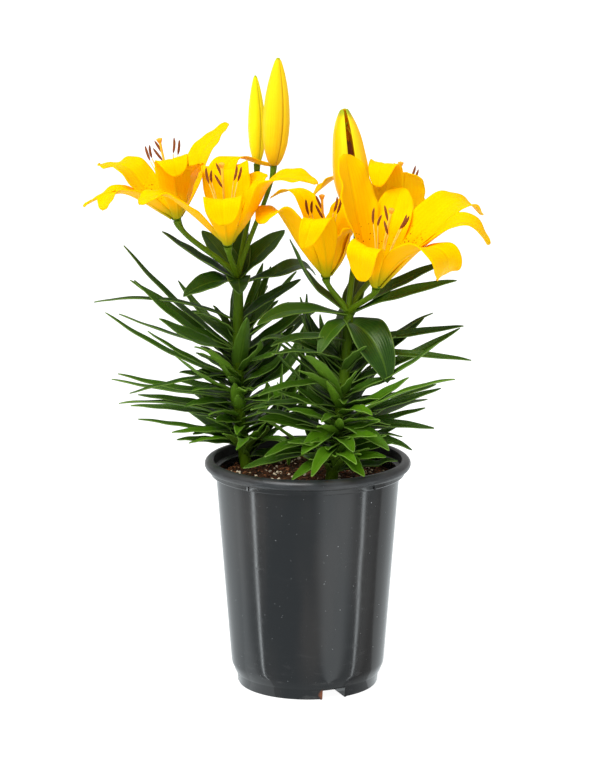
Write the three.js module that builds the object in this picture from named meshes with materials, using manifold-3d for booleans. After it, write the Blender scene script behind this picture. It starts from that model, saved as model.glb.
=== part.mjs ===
// Potted Asiatic lily: two leafy stems grown from bulbs in one plastic nursery pot, carrying
// five open blooms, one opening bud and two closed buds.
// Millimetres, +Z up. The origin is the centre of the pot's flat base, +X runs to the right
// and -Y towards somebody looking at the front.
import * as THREE from "three";
import { mergeVertices } from "three/addons/utils/BufferGeometryUtils.js";
import Module from "manifold-3d";

const wasm = await Module();
wasm.setup();

// Driving dimensions of the pot and its filling
const POT_HEIGHT = 185;
const RIM_RADIUS = 82.5;
const MOUTH_RADIUS = 75.4;
const WALL = 1.6;
const FLOOR = 2;
const FOOT_RADIUS = 56.4;
const FOOT_HEIGHT = 9.4;
const SHOULDER = { radius: 61.6, height: 18.5 };
const NECK = { radius: 73.4, height: 171.5 };
const POT_SIDES = 32;
const NOTCH = { count: 3, first: -68.4, width: 19, depth: 22, height: 9, slot: [11, 6] };
const SOIL_LEVEL = 169.5;
const GAP = 0.3;
const SLIVER = 0.02;

// Driving dimensions of the plant
const BULB = { height: 42, radius: 21, neck: 5.6, scales: 6 };
const STEM_RADIUS = { soil: 4.9, top: 4.1 };
const STEM_SIDES = 8;
const STEM_RISE = 168;
const PEDICEL_RADIUS = { root: 2.6, middle: 2.1, top: 3.4 };
const BUD_STALK = 0.82;
const LEAF_STEPS = 24;
const LEAF_THICKNESS = 0.8;
const LEAF_TWIST = 28;
const TEPAL_STEPS = 48;
const TEPAL_THICKNESS = 0.9;
const TEPAL_ARCH = 0.34;
const FILAMENT = { ring: 2.7, radius: 0.75, rise: [44, 47], reach: [10, 7] };
const ANTHER = { length: 13, radius: 1.1, tilt: 0.2, sways: [-0.3, 0.4, -0.1, 0.5, -0.45, 0.2] };
const PISTIL = { ovary: 14, ovaryRadius: 1.9, styleRadius: 0.95, length: 62, stigma: 2.2 };
const RECEPTACLE = { radius: 3.8, height: 4 };
const PEDICEL_BOW = { rise: 0.16, lean: 0.2, finish: 0.24 };
const FOLDED_WIDTH = 14;

// Each stem: where its bulb sits, where it leaves the soil, and the two guides and the end of
// the cubic curve that it follows up to its top whorl.
const STEMS = {
  left: {
    bulb: [-24, 14, 52],
    foot: [-49, 30, 168],
    guides: [[-60, 37, 215], [-54, 19, 280]],
    top: [-56, 15, 330],
    leaves: 12,
    base: { length: 78, width: 11 },
    seed: 11,
  },
  right: {
    bulb: [10, -15, 52],
    foot: [18, -26, 168],
    guides: [[24, -34, 215], [31, -14, 264]],
    top: [32, -10, 306],
    leaves: 11,
    base: { length: 50, width: 14 },
    seed: 29,
  },
};

// The narrow leaves that climb each stem in a spiral, from its foot to its top: their rise and
// droop, how far up their length and width reach full size, and how much each may vary.
const SPIRAL = {
  turn: 137.508,
  sway: 16,
  rise: [16, 58],
  droop: [14, 42],
  length: [114, 70],
  width: 12.5,
  roll: 70,
  shaded: 0.4,
  short: 0.6,
};

// The leaves of one plant keep to their side of this upright plane between the two stems.
const MIDDLE = { point: [-12, 2.5], normal: [0.87, -0.49], clearance: 7, reach: 26 };

// Leaves placed one by one, first the broad top whorl of each stem and then the long leaves that
// give it its outline: height below the stem's top, azimuth, rise of the root above the
// horizontal, droop to the tip (below zero it curls up), length, width and roll.
const PLACED_LEAVES = {
  left: [
    [5, 176, 26, -14, 72, 20, 20],
    [2, 142, 48, 10, 50, 25, 0],
    [4, 34, 44, 12, 58, 26, 0],
    [6, 208, 14, 46, 50, 24, -10],
    [9, 348, 22, 36, 88, 17, 10],
    [4, 276, 26, 100, 23, 22, 0],
    [8, 82, 62, 14, 56, 20, 0],
    [66, 170, 32, -20, 126, 11, 15],
    [70, 190, 28, -20, 106, 10, -10],
    [41, 180, 26, 36, 118, 9, 20],
    [90, 182, 18, -20, 121, 10, 10],
    [66, 150, 4, -12, 116, 9, 30],
    [88, 204, 20, -20, 90, 10, 0],
    [66, 220, 15, -20, 88, 17, -30],
    [62, 140, 26, -20, 80, 9, 0],
    [102, 195, 6, -14, 102, 9, 0],
    [104, 170, 0, -12, 106, 9, 20],
    [84, 204, 0, 10, 94, 9, 20],
    [118, 186, 16, 8, 84, 10, 0],
    [124, 176, 14, 14, 90, 9, 0],
    [138, 196, 14, 2, 88, 9, 10],
    [136, 206, 16, 18, 62, 9, 0],
    [150, 190, 24, 26, 56, 10, 0],
    [126, 150, 6, 2, 72, 9, 0],
    [84, 284, 62, 10, 62, 16, 0],
    [98, 238, 40, -10, 58, 16, -20],
    [102, 222, 22, -20, 78, 15, 10],
    [118, 262, 50, 0, 40, 14, 0],
    [48, 40, 22, -6, 46, 10, 0],
    [62, 64, 55, 2, 76, 11, 0],
    [84, 56, 22, 10, 78, 10, 0],
    [42, 24, 42, 30, 66, 12, 10],
    [70, 36, 30, 22, 84, 10, 20],
    [100, 48, 24, 14, 90, 10, 0],
    [116, 60, 14, 20, 88, 11, 10],
    [132, 30, 20, 30, 60, 10, 0],
    [78, 330, 26, 24, 58, 11, 0],
    [108, 316, 20, 26, 62, 11, 20],
  ],
  right: [
    [3, 4, 34, 12, 88, 14, 10],
    [5, -12, 28, 16, 92, 13, 20],
    [4, 172, 38, 6, 82, 15, 0],
    [6, 196, 16, 26, 96, 18, -10],
    [11, 315, -6, 78, 66, 36, 27],
    [9, 75, 46, 30, 62, 19, 0],
    [10, 232, 0, 60, 46, 18, 0],
    [64, 20, 22, -20, 80, 11, 0],
    [34, 6, 10, 4, 94, 9, 20],
    [74, 10, 20, -10, 104, 11, 10],
    [84, -24, 22, -20, 98, 10, 0],
    [42, -12, 4, 10, 100, 8, 20],
    [102, -26, 26, -12, 70, 13, 20],
    [90, 16, 0, -16, 80, 9, 0],
    [104, -4, 16, -4, 84, 10, 10],
    [114, 10, 10, -4, 72, 9, 0],
    [110, -8, 8, 16, 76, 10, 20],
    [118, 30, 8, 16, 48, 12, 0],
    [124, 2, 16, 48, 62, 11, 10],
    [110, -44, 6, 36, 56, 16, 10],
    [132, -68, 2, 30, 60, 15, 0],
    [124, -78, 20, 32, 60, 16, 0],
    [130, 255, 10, 30, 76, 14, 0],
    [114, 222, -2, 36, 42, 20, 0],
    [124, 206, 6, 18, 70, 15, 10],
    [134, 198, -2, -4, 96, 12, 0],
    [140, 220, 0, 30, 46, 13, 0],
    [86, 236, 36, 14, 70, 14, 20],
    [106, 206, 38, 22, 64, 12, 0],
    [114, 198, 34, 26, 76, 12, 0],
    [118, 188, 26, 22, 84, 10, 0],
    [62, 196, 46, 48, 92, 10, 0],
    [32, 214, 20, 30, 78, 12, 0],
    [52, 224, 26, 26, 84, 10, 10],
    [72, 214, 12, 20, 88, 10, 0],
    [94, 200, 14, 16, 92, 10, 10],
    [78, 168, 40, 20, 54, 10, 0],
    [42, 96, 40, 30, 64, 12, 0],
    [68, 70, 34, 20, 80, 11, 0],
  ],
};

// Each bloom: the stem that carries it, its base, the lean of its axis towards +X and +Y in
// degrees, the slant of its cup and its six tepals, outer and inner by turns. A tepal is its
// azimuth round the axis, its flare in degrees, the share of its length where it bends over, the
// curl of that bend in degrees, its length, its width and its sideways sweep in degrees.
const BLOOMS = {
  bloom_left: {
    stem: "left",
    base: [-103, 2, 376.5],
    lean: [-12, 2],
    cup: 44,
    tepals: [
      [284, -32, 0.78, 172, 78, 30, 0],
      [322, -40, 0.6, 50, 52, 36, 0],
      [42, -24, 0.56, 42, 92, 31, 0],
      [142, -16, 0.66, 58, 86, 38, 0],
      [178, 10, 0.62, 54, 78, 36, 0],
      [208, 16, 0.74, 70, 72, 37, 0],
    ],
  },
  bloom_centre_left: {
    stem: "left",
    base: [-62.4, -25, 360.3],
    lean: [-4, -4],
    cup: 40,
    tepals: [
      [270, -26, 0.7, 172, 76, 34, 0],
      [344, -12, 0.64, 74, 99, 43, 0],
      [58, -22, 0.62, 60, 72, 34, 0],
      [87, -20, 0.72, 100, 86, 42, 0],
      [108, -20, 0.72, 106, 98, 24, -52],
      [200, 6, 0.75, 62, 86, 36, 0],
    ],
  },
  bloom_centre: {
    stem: "right",
    base: [14.2, -20, 334.1],
    lean: [-3, 0],
    cup: 36,
    tepals: [
      [274, -22, 0.7, 188, 88, 24, -30],
      [326, -22, 0.7, 40, 48, 30, 0],
      [4, -26, 0.7, 30, 62, 26, 0],
      [50, -28, 0.75, 20, 62, 30, 0],
      [96, -19, 0.8, 110, 92, 18, 40],
      [206, -14, 0.76, 104, 86, 46, 0],
    ],
  },
  bloom_right: {
    stem: "right",
    base: [53, -38, 329.3],
    lean: [10, -10],
    cup: 30,
    tepals: [
      [238, -10, 0.6, 180, 80, 28, 0],
      [300, 28, 0.7, 158, 112, 40, 36],
      [348, 10, 0.76, 96, 114, 38, 4],
      [30, 15, 0.78, 86, 118, 44, 0],
      [81, -14, 0.57, 52, 90, 32, 0],
      [144, -5, 0.8, 3, 103, 52, 0],
    ],
  },
  bloom_back: {
    stem: "right",
    base: [67.8, 50, 350],
    lean: [6, 4],
    cup: 34,
    tepals: [
      [251, -14, 0.76, 150, 102, 28, 0],
      [277, -12, 0.84, 14, 66, 46, 0],
      [352, -6, 0.7, 60, 62, 34, 0],
      [30, -4, 0.6, 80, 66, 34, 0],
      [80, 0, 0.6, 90, 94, 28, 0],
      [178, 6, 0.64, 97, 98, 36, 0],
    ],
  },
};

// Each bud: the stem that carries it, its base, lean, length and greatest radius.
const BUDS = {
  bud_small: { stem: "left", base: [-40.4, 35, 417], lean: [-1, 0], length: 70, radius: 7 },
  bud_large: { stem: "left", base: [-27, 20, 417.5], lean: [2.4, 0], length: 85, radius: 10.8 },
};
const OPENING_BUD = { stem: "right", base: [38, 14, 373], lean: [-6, -1] };

const MATERIALS = {
  plastic: new THREE.MeshStandardMaterial({ color: 0x3b4148, roughness: 0.35 }),
  soil: new THREE.MeshStandardMaterial({ color: 0x3a2417, roughness: 0.95 }),
  bulb: new THREE.MeshStandardMaterial({ color: 0xe8dcb4, roughness: 0.6 }),
  foliage: new THREE.MeshStandardMaterial({ color: 0x2c5a17, roughness: 0.45 }),
  tepal: new THREE.MeshStandardMaterial({ color: 0xffb607, roughness: 0.55 }),
  bud: new THREE.MeshStandardMaterial({ color: 0xf2d21c, roughness: 0.5 }),
  stamen: new THREE.MeshStandardMaterial({ color: 0x8a3a12, roughness: 0.8 }),
  pistil: new THREE.MeshStandardMaterial({ color: 0xe9b71c, roughness: 0.5 }),
};

const RAD = Math.PI / 180;
const vec = (x, y, z) => new THREE.Vector3(x, y, z);
const mix = (a, b, t) => a + (b - a) * t;

function smooth(t) {
  const c = Math.min(1, Math.max(0, t));
  return c * c * (3 - 2 * c);
}

// A seeded draw from 0 to 1, the same on every run.
function dice(seed) {
  let state = seed >>> 0;
  return () => {
    state = (Math.imul(state, 1664525) + 1013904223) >>> 0;
    return state / 4294967296;
  };
}

// A closed geometry from its corner points and triangles.
function meshOf(points, triangles) {
  const geometry = new THREE.BufferGeometry().setFromPoints(points);
  geometry.setIndex(triangles);
  return geometry;
}

// The boolean solid of a closed geometry.
function solidOf(geometry) {
  const bare = new THREE.BufferGeometry();
  bare.setAttribute("position", geometry.getAttribute("position"));
  bare.setIndex(geometry.index);
  const merged = mergeVertices(bare, 1e-4);
  return new wasm.Manifold(
    new wasm.Mesh({
      numProp: 3,
      vertProperties: merged.attributes.position.array,
      triVerts: new Uint32Array(merged.index.array),
    }),
  );
}

// The geometry of a boolean solid.
function geometryOf(solid) {
  const mesh = solid.getMesh();
  const geometry = new THREE.BufferGeometry();
  geometry.setAttribute("position", new THREE.BufferAttribute(mesh.vertProperties, 3));
  geometry.setIndex(new THREE.BufferAttribute(mesh.triVerts, 1));
  return geometry;
}

// One body from pieces that run into one another: slivers narrower than the tolerance go, sealed
// hollows are filled and scraps dropped.
function fuse(geometries) {
  const whole = geometries.map(solidOf).reduce((sum, piece) => sum.add(piece)).simplify(SLIVER);
  return whole.decompose().reduce((main, body) => (body.volume() > main.volume() ? body : main));
}

// A skin over rings of points that all have the same number of corners, with flat ends.
function loft(rings) {
  const sides = rings[0].length;
  const triangles = [];
  for (let i = 0; i + 1 < rings.length; i++) {
    for (let j = 0; j < sides; j++) {
      const a = i * sides + j;
      const b = i * sides + ((j + 1) % sides);
      triangles.push(a, b, b + sides, a, b + sides, a + sides);
    }
  }
  const last = (rings.length - 1) * sides;
  for (let j = 1; j + 1 < sides; j++) {
    triangles.push(0, j + 1, j, last, last + j, last + j + 1);
  }
  return meshOf(rings.flat(), triangles);
}

// A thin blade between an upper and a lower grid of points, split alike on both faces.
function bladeBetween(upper, lower) {
  const rows = upper.length;
  const columns = upper[0].length;
  const last = columns - 1;
  const up = (i, j) => i * columns + j;
  const down = (i, j) => (rows + i) * columns + j;
  const triangles = [];
  for (let i = 0; i + 1 < rows; i++) {
    for (let j = 0; j + 1 < columns; j++) {
      triangles.push(up(i, j), up(i + 1, j + 1), up(i, j + 1));
      triangles.push(up(i, j), up(i + 1, j), up(i + 1, j + 1));
      triangles.push(down(i, j), down(i, j + 1), down(i + 1, j + 1));
      triangles.push(down(i, j), down(i + 1, j + 1), down(i + 1, j));
    }
    triangles.push(up(i, 0), down(i + 1, 0), up(i + 1, 0));
    triangles.push(up(i, 0), down(i, 0), down(i + 1, 0));
    triangles.push(up(i, last), down(i + 1, last), down(i, last));
    triangles.push(up(i, last), up(i + 1, last), down(i + 1, last));
  }
  for (let j = 0; j + 1 < columns; j++) {
    const end = rows - 1;
    triangles.push(up(0, j), down(0, j + 1), down(0, j));
    triangles.push(up(0, j), up(0, j + 1), down(0, j + 1));
    triangles.push(up(end, j), down(end, j + 1), up(end, j + 1));
    triangles.push(up(end, j), down(end, j), down(end, j + 1));
  }
  return meshOf([...upper.flat(), ...lower.flat()], triangles);
}

// A tube of varying radius round a list of centre points.
function tube(centres, radii, sides) {
  const rings = centres.map((centre, i) => {
    const before = centres[Math.max(0, i - 1)];
    const after = centres[Math.min(centres.length - 1, i + 1)];
    const along = after.clone().sub(before).normalize();
    const across = vec(0, 1, 0).addScaledVector(along, -along.y).normalize();
    const third = along.clone().cross(across);
    return Array.from({ length: sides }, (_, k) => {
      const turn = (2 * Math.PI * k) / sides;
      return centre
        .clone()
        .addScaledVector(across, radii[i] * Math.cos(turn))
        .addScaledVector(third, radii[i] * Math.sin(turn));
    });
  });
  return loft(rings);
}

// A profile of radius and height pairs turned about +Z.
function turned(profile, sides) {
  const lathe = new THREE.LatheGeometry(profile.map(([r, z]) => new THREE.Vector2(r, z)), sides);
  return lathe.rotateX(Math.PI / 2);
}

function boxAt(size, centre) {
  return new THREE.BoxGeometry(...size).translate(...centre);
}

// Pot

function wallRadius(z) {
  const rise = (z - SHOULDER.height) / (NECK.height - SHOULDER.height);
  return mix(SHOULDER.radius, NECK.radius, rise);
}

function notchAngles() {
  return Array.from({ length: NOTCH.count }, (_, k) => NOTCH.first + (360 / NOTCH.count) * k);
}

// The raised box over each drain notch, grown by a clearance all round.
function notchHoods(grow) {
  const inner = FOOT_RADIUS - NOTCH.depth - WALL - grow;
  const wide = NOTCH.width + 2 * (WALL + grow);
  const size = [FOOT_RADIUS - inner - 1, wide, NOTCH.height + WALL + grow];
  return notchAngles().map((angle) =>
    boxAt(size, [inner + size[0] / 2, 0, size[2] / 2]).rotateZ(angle * RAD),
  );
}

function potSolid() {
  const inside = NECK.radius - WALL;
  const outline = [
    [0, 0],
    [FOOT_RADIUS, 0],
    [FOOT_RADIUS + 0.9, FOOT_HEIGHT],
    [FOOT_RADIUS + 2, FOOT_HEIGHT + 0.2],
    [SHOULDER.radius, SHOULDER.height],
    [NECK.radius, NECK.height],
    [NECK.radius + 4.2, NECK.height + 1.2],
    [NECK.radius + 5, POT_HEIGHT - 7.4],
    [RIM_RADIUS - 0.4, POT_HEIGHT - 6.8],
    [RIM_RADIUS, POT_HEIGHT - 5],
    [RIM_RADIUS - 1.4, POT_HEIGHT],
    [MOUTH_RADIUS, POT_HEIGHT],
    [MOUTH_RADIUS - 0.5, POT_HEIGHT - 8],
    [inside, POT_HEIGHT - 9.6],
    [SHOULDER.radius - WALL, SHOULDER.height],
    [FOOT_RADIUS - 0.6, FOOT_HEIGHT + 1],
    [FOOT_RADIUS - 1.6, FLOOR],
    [0, FLOOR],
  ];
  let pot = solidOf(turned(outline, POT_SIDES));
  for (const hood of notchHoods(0)) {
    pot = pot.add(solidOf(hood));
  }
  for (const angle of notchAngles()) {
    const inner = FOOT_RADIUS - NOTCH.depth;
    const reach = NOTCH.depth + 6;
    const recess = boxAt(
      [reach, NOTCH.width, NOTCH.height + 4],
      [inner + reach / 2, 0, (NOTCH.height + 4) / 2 - 4],
    );
    const slot = boxAt(
      [NOTCH.slot[1], NOTCH.slot[0], 3 * WALL],
      [inner + NOTCH.depth / 2 - 1, 0, NOTCH.height + WALL / 2],
    );
    pot = pot.subtract(solidOf(recess.rotateZ(angle * RAD)));
    pot = pot.subtract(solidOf(slot.rotateZ(angle * RAD)));
  }
  return pot;
}

// Soil, with a rough top, a bulb-shaped hollow under each stem and a plain hole above it

function soilHeight(x, y) {
  const ripple = Math.sin(x * 0.21 + 1.3) * Math.cos(y * 0.17 - 0.4);
  const crumbs = Math.sin(x * 0.55 + y * 0.38) + Math.cos(y * 0.62 - x * 0.29);
  return SOIL_LEVEL + 1.1 * ripple + 0.55 * crumbs;
}

function soilSolid() {
  const top = SOIL_LEVEL - 1;
  const wall = (z) => wallRadius(z) - WALL - GAP;
  const rings = [0.86, 0.68, 0.5, 0.32, 0.15];
  const outline = [
    [0, FLOOR + GAP],
    [FOOT_RADIUS - 1.6 - GAP, FLOOR + GAP],
    [FOOT_RADIUS - 0.6 - GAP, FOOT_HEIGHT + 1],
    [wall(SHOULDER.height), SHOULDER.height],
    [wall(top), top],
    ...rings.map((share) => [wall(top) * share, SOIL_LEVEL]),
    [0, SOIL_LEVEL],
  ];
  const body = turned(outline, POT_SIDES / 2);
  const place = body.getAttribute("position");
  for (let i = 0; i < place.count; i++) {
    if (place.getZ(i) > top + GAP) {
      place.setZ(i, soilHeight(place.getX(i), place.getY(i)));
    }
  }
  let soil = solidOf(body);
  for (const hood of notchHoods(GAP)) {
    soil = soil.subtract(solidOf(hood));
  }
  for (const stem of Object.values(STEMS)) {
    const hollow = plantBulb(bulbGeometry(GAP), stem);
    const { neck, foot, along } = shaft(stem);
    const ends = [neck.clone().addScaledVector(along, -4), foot.clone().addScaledVector(along, 12)];
    const hole = tube(ends, Array(2).fill(STEM_RADIUS.soil + GAP), STEM_SIDES);
    soil = soil.subtract(solidOf(hollow).add(solidOf(hole)));
  }
  return soil;
}

// Bulb of overlapping scales, grown by a clearance for the hollow it lies in

function bulbGeometry(grow) {
  const levels = [0, 0.12, 0.34, 0.6, 0.82, 1];
  const girth = [0.3, 0.7, 1, 0.94, 0.6, BULB.neck / BULB.radius];
  const sides = 2 * BULB.scales;
  const rings = levels.map((level, i) => {
    const z = BULB.height * level + grow * (level < 0.5 ? -1 : 1);
    return Array.from({ length: sides }, (_, k) => {
      const turn = (2 * Math.PI * k) / sides + i * (Math.PI / sides);
      const relief = grow > 0 ? 1 : k % 2 ? 1 : 0.93;
      const r = BULB.radius * girth[i] * relief + grow;
      return vec(r * Math.cos(turn), r * Math.sin(turn), z);
    });
  });
  return loft(rings);
}

// Stems

// The straight stretch in the soil, from the bulb's neck to the foot.
function shaft(stem) {
  const base = vec(...stem.bulb);
  const foot = vec(...stem.foot);
  const along = foot.clone().sub(base).normalize();
  return { base, foot, along, neck: base.clone().addScaledVector(along, BULB.height + GAP) };
}

// Stands a bulb's geometry in its place, leaning with the shaft above it.
function plantBulb(geometry, stem) {
  const { base, along } = shaft(stem);
  geometry.applyQuaternion(new THREE.Quaternion().setFromUnitVectors(vec(0, 0, 1), along));
  return geometry.translate(...base.toArray());
}

function stemCurve(stem) {
  return new THREE.CubicBezierCurve3(
    vec(...stem.foot),
    vec(...stem.guides[0]),
    vec(...stem.guides[1]),
    vec(...stem.top),
  );
}

function stemGeometry(stem) {
  const curve = stemCurve(stem);
  const rises = [0, 0.2, 0.4, 0.6, 0.8, 1];
  const centres = [shaft(stem).neck, ...rises.map((t) => curve.getPoint(t))];
  const radii = [STEM_RADIUS.soil, ...rises.map((t) => mix(STEM_RADIUS.soil, STEM_RADIUS.top, t))];
  return tube(centres, radii, STEM_SIDES);
}

// A flower stalk from inside the stem's top to just under the base of its bloom or bud.
function pedicelGeometry(stem, head, girth) {
  const axis = axisOf(head.lean);
  const end = vec(...head.base).addScaledVector(axis, -GAP);
  const start = stemCurve(stem).getPoint(0.98);
  const span = start.distanceTo(end);
  const curve = new THREE.CubicBezierCurve3(
    start,
    start.clone().add(vec(0, 0, span * PEDICEL_BOW.rise)).lerp(end, PEDICEL_BOW.lean),
    end.clone().addScaledVector(axis, -span * PEDICEL_BOW.finish),
    end,
  );
  const shares = [0, 0.2, 0.4, 0.6, 0.8, 0.96, 1];
  const radii = shares.map((t) =>
    t < 0.8
      ? girth * mix(PEDICEL_RADIUS.root, PEDICEL_RADIUS.middle, t / 0.8)
      : girth * mix(PEDICEL_RADIUS.middle, PEDICEL_RADIUS.top, smooth((t - 0.8) / 0.2)),
  );
  return tube(shares.map((t) => curve.getPoint(t)), radii, 6);
}

// Leaves

// The lowest that a leaf's midrib may lie: clear of the soil inside the pot, of the rim over it.
function leafFloor(x, y) {
  const out = Math.hypot(x, y);
  return mix(SOIL_LEVEL + 4, POT_HEIGHT + 3, smooth((out - 52) / 20));
}

// The midrib of a leaf: it leaves the stem at its rise, droops evenly, and turns aside where it
// comes near the plane between the two plants.
function leafLine(leaf) {
  const points = [leaf.root.clone()];
  const at = leaf.root.clone();
  const normal = vec(MIDDLE.normal[0], MIDDLE.normal[1], 0).multiplyScalar(leaf.side);
  for (let i = 0; i < LEAF_STEPS; i++) {
    const s = (i + 0.5) / LEAF_STEPS;
    const rise = (leaf.rise - leaf.droop * s) * RAD;
    const azimuth = leaf.azimuth * RAD;
    const way = vec(
      Math.cos(rise) * Math.cos(azimuth),
      Math.cos(rise) * Math.sin(azimuth),
      Math.sin(rise),
    );
    const off = (at.x - MIDDLE.point[0]) * normal.x + (at.y - MIDDLE.point[1]) * normal.y;
    const near = 1 - smooth((-off - MIDDLE.clearance) / MIDDLE.reach);
    const toward = Math.max(0, way.dot(normal));
    way.addScaledVector(normal, -toward * near).normalize();
    at.addScaledVector(way, leaf.length / LEAF_STEPS);
    points.push(at.clone());
  }
  return points.map((p, i) => {
    const low = leafFloor(p.x, p.y);
    const lift = 4 * smooth(i / 4);
    return p.z < low + lift ? vec(p.x, p.y, low + (lift * lift) / (2 * lift + low - p.z + 1e-9)) : p;
  });
}

// Half the width of a lance-shaped leaf at a share of its length.
function leafHalf(leaf, s) {
  const swell = mix(0.36, 1, Math.sin((Math.min(1, s / 0.4) * Math.PI) / 2));
  return 0.5 * leaf.width * swell * Math.pow(1 - Math.pow(s, 2.4), 0.8) + 0.3 * s;
}

// A point of a leaf's middle surface, raised by its fold and lifted along its own normal. Each
// leaf twists to turn its upper face to the light in front of the pot.
function leafPoint(leaf, line, i, v, fold, lift) {
  const before = line[Math.max(0, i - 1)];
  const after = line[Math.min(LEAF_STEPS, i + 1)];
  const along = after.clone().sub(before).normalize();
  const flat = Math.hypot(along.x, along.y);
  const azimuth = flat > 0.2 ? Math.atan2(along.y, along.x) : leaf.azimuth * RAD;
  const across = vec(-Math.sin(azimuth), Math.cos(azimuth), 0);
  across.addScaledVector(along, -across.dot(along)).normalize();
  const upward = along.clone().cross(across);
  const twist = leaf.roll + LEAF_TWIST * Math.cos(leaf.azimuth * RAD);
  const roll = twist * RAD * smooth(i / LEAF_STEPS / 0.7);
  const side = across.clone().multiplyScalar(Math.cos(roll)).addScaledVector(upward, Math.sin(roll));
  const face = upward.clone().multiplyScalar(Math.cos(roll)).addScaledVector(across, -Math.sin(roll));
  const half = leafHalf(leaf, i / LEAF_STEPS);
  return line[i]
    .clone()
    .addScaledVector(side, v * half * 0.94)
    .addScaledVector(face, fold * half + lift);
}

// A broad leaf is folded along its midrib, and a narrow one is a plain strip.
function leafGeometry(leaf) {
  const line = leafLine(leaf);
  const broad = leaf.width >= FOLDED_WIDTH;
  const stations = broad ? [0, 8, 16, 24] : [0, 10, 24];
  const shares = broad ? [-1, 0, 1] : [-1, 1];
  const fold = broad ? 0.34 : 0.2;
  const rows = (lift) =>
    stations.map((i) => shares.map((v) => leafPoint(leaf, line, i, v, fold * Math.abs(v), lift)));
  return bladeBetween(rows(LEAF_THICKNESS / 2), rows(-LEAF_THICKNESS / 2));
}

// A leaf of the spiral at a share of the way up its stem. Those that face the other plant are
// shorter, and so are the high ones in front.
function spiralLeaf(stem, k, share, side, draw) {
  const azimuth = k * SPIRAL.turn + (draw() - 0.5) * SPIRAL.sway;
  const rise = mix(...SPIRAL.rise, share) + (draw() - 0.5) * SPIRAL.sway;
  const droop = mix(...SPIRAL.droop, draw());
  const full = mix(...SPIRAL.length, Math.max(0, share - 0.8) / 0.2);
  const length = mix(stem.base.length, full, smooth(share / 0.4)) * mix(0.88, 1.06, draw());
  const width = mix(stem.base.width, SPIRAL.width, smooth(share / 0.3)) * mix(0.88, 1.1, draw());
  const [acrossX, acrossY] = MIDDLE.normal;
  const facing = (Math.cos(azimuth * RAD) * acrossX + Math.sin(azimuth * RAD) * acrossY) * side;
  const front = smooth((share - 0.6) / 0.3) * Math.max(0, -Math.sin(azimuth * RAD));
  const shade = 1 - SPIRAL.shaded * Math.max(0, facing) - SPIRAL.short * front;
  const roll = (draw() - 0.5) * SPIRAL.roll;
  const root = stemCurve(stem).getPoint(0.05 + 0.62 * share ** 1.15);
  return { root, azimuth, rise, droop, length: length * shade, width, roll, side };
}

// The leaves of one stem: the spiral, and those placed one by one.
function leavesOf(name) {
  const stem = STEMS[name];
  const side = name === "left" ? 1 : -1;
  const draw = dice(stem.seed);
  const leaves = [];
  for (let k = 0; k < stem.leaves; k++) {
    leaves.push(spiralLeaf(stem, k, (k + 0.5) / stem.leaves, side, draw));
  }
  for (const [below, azimuth, rise, droop, length, width, roll] of PLACED_LEAVES[name]) {
    const root = stemCurve(stem).getPoint(1 - below / STEM_RISE);
    leaves.push({ root, azimuth, rise, droop, length, width, roll, side });
  }
  return leaves;
}

function leafyStemSolid(name) {
  const stem = STEMS[name];
  const stalksOf = (heads, girth) =>
    heads.filter((head) => head.stem === name).map((head) => pedicelGeometry(stem, head, girth));
  const stalks = [
    ...stalksOf([...Object.values(BLOOMS), OPENING_BUD], 1),
    ...stalksOf(Object.values(BUDS), BUD_STALK),
  ];
  return fuse([stemGeometry(stem), ...stalks, ...leavesOf(name).map(leafGeometry)]);
}

// Blooms, each in its own frame with +Z along its axis

function axisOf([leanX, leanY]) {
  return vec(Math.tan(leanX * RAD), Math.tan(leanY * RAD), 1).normalize();
}

function placeHead(group, head) {
  const up = axisOf(head.lean);
  const right = vec(1, 0, 0).addScaledVector(up, -up.x).normalize();
  const back = up.clone().cross(right);
  group.quaternion.setFromRotationMatrix(new THREE.Matrix4().makeBasis(right, back, up));
  group.position.set(...head.base);
}

// The line of a tepal in the plane of its azimuth: distance from the axis, height along it and
// the angle between the two at each step.
function tepalLine(tepal) {
  const line = [];
  let out = tepal.start;
  let high = tepal.low;
  for (let i = 0; i <= TEPAL_STEPS; i++) {
    const s = i / TEPAL_STEPS;
    const flare = tepal.flare * smooth((s - 0.1) / 0.5);
    const curl = tepal.curl * smooth((s - tepal.bend + 0.16) / 0.32);
    const angle = (tepal.cup + flare + curl) * RAD;
    line.push({ out, high, angle });
    out += (Math.sin(angle) * tepal.length) / TEPAL_STEPS;
    high += (Math.cos(angle) * tepal.length) / TEPAL_STEPS;
  }
  return line;
}

// Half the width of a tepal: a claw no wider than its share of the funnel, a broad middle and
// a blunt tip.
function tepalHalf(tepal, s, out) {
  const full = 0.5 * tepal.width * mix(0.3, 1, smooth(s / 0.5));
  const broad = full * Math.pow(1 - Math.pow(s, 3.5), 0.6) + 0.8 * s;
  const share = Math.max(1.5, tepal.claw * out);
  return (broad * share) / Math.pow(broad ** 4 + share ** 4, 0.25);
}

// A place on a tepal's line between two of its steps.
function lineAt(line, step) {
  const i = Math.min(TEPAL_STEPS - 1, Math.floor(step));
  const share = step - i;
  return {
    out: mix(line[i].out, line[i + 1].out, share),
    high: mix(line[i].high, line[i + 1].high, share),
    angle: mix(line[i].angle, line[i + 1].angle, share),
  };
}

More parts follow.
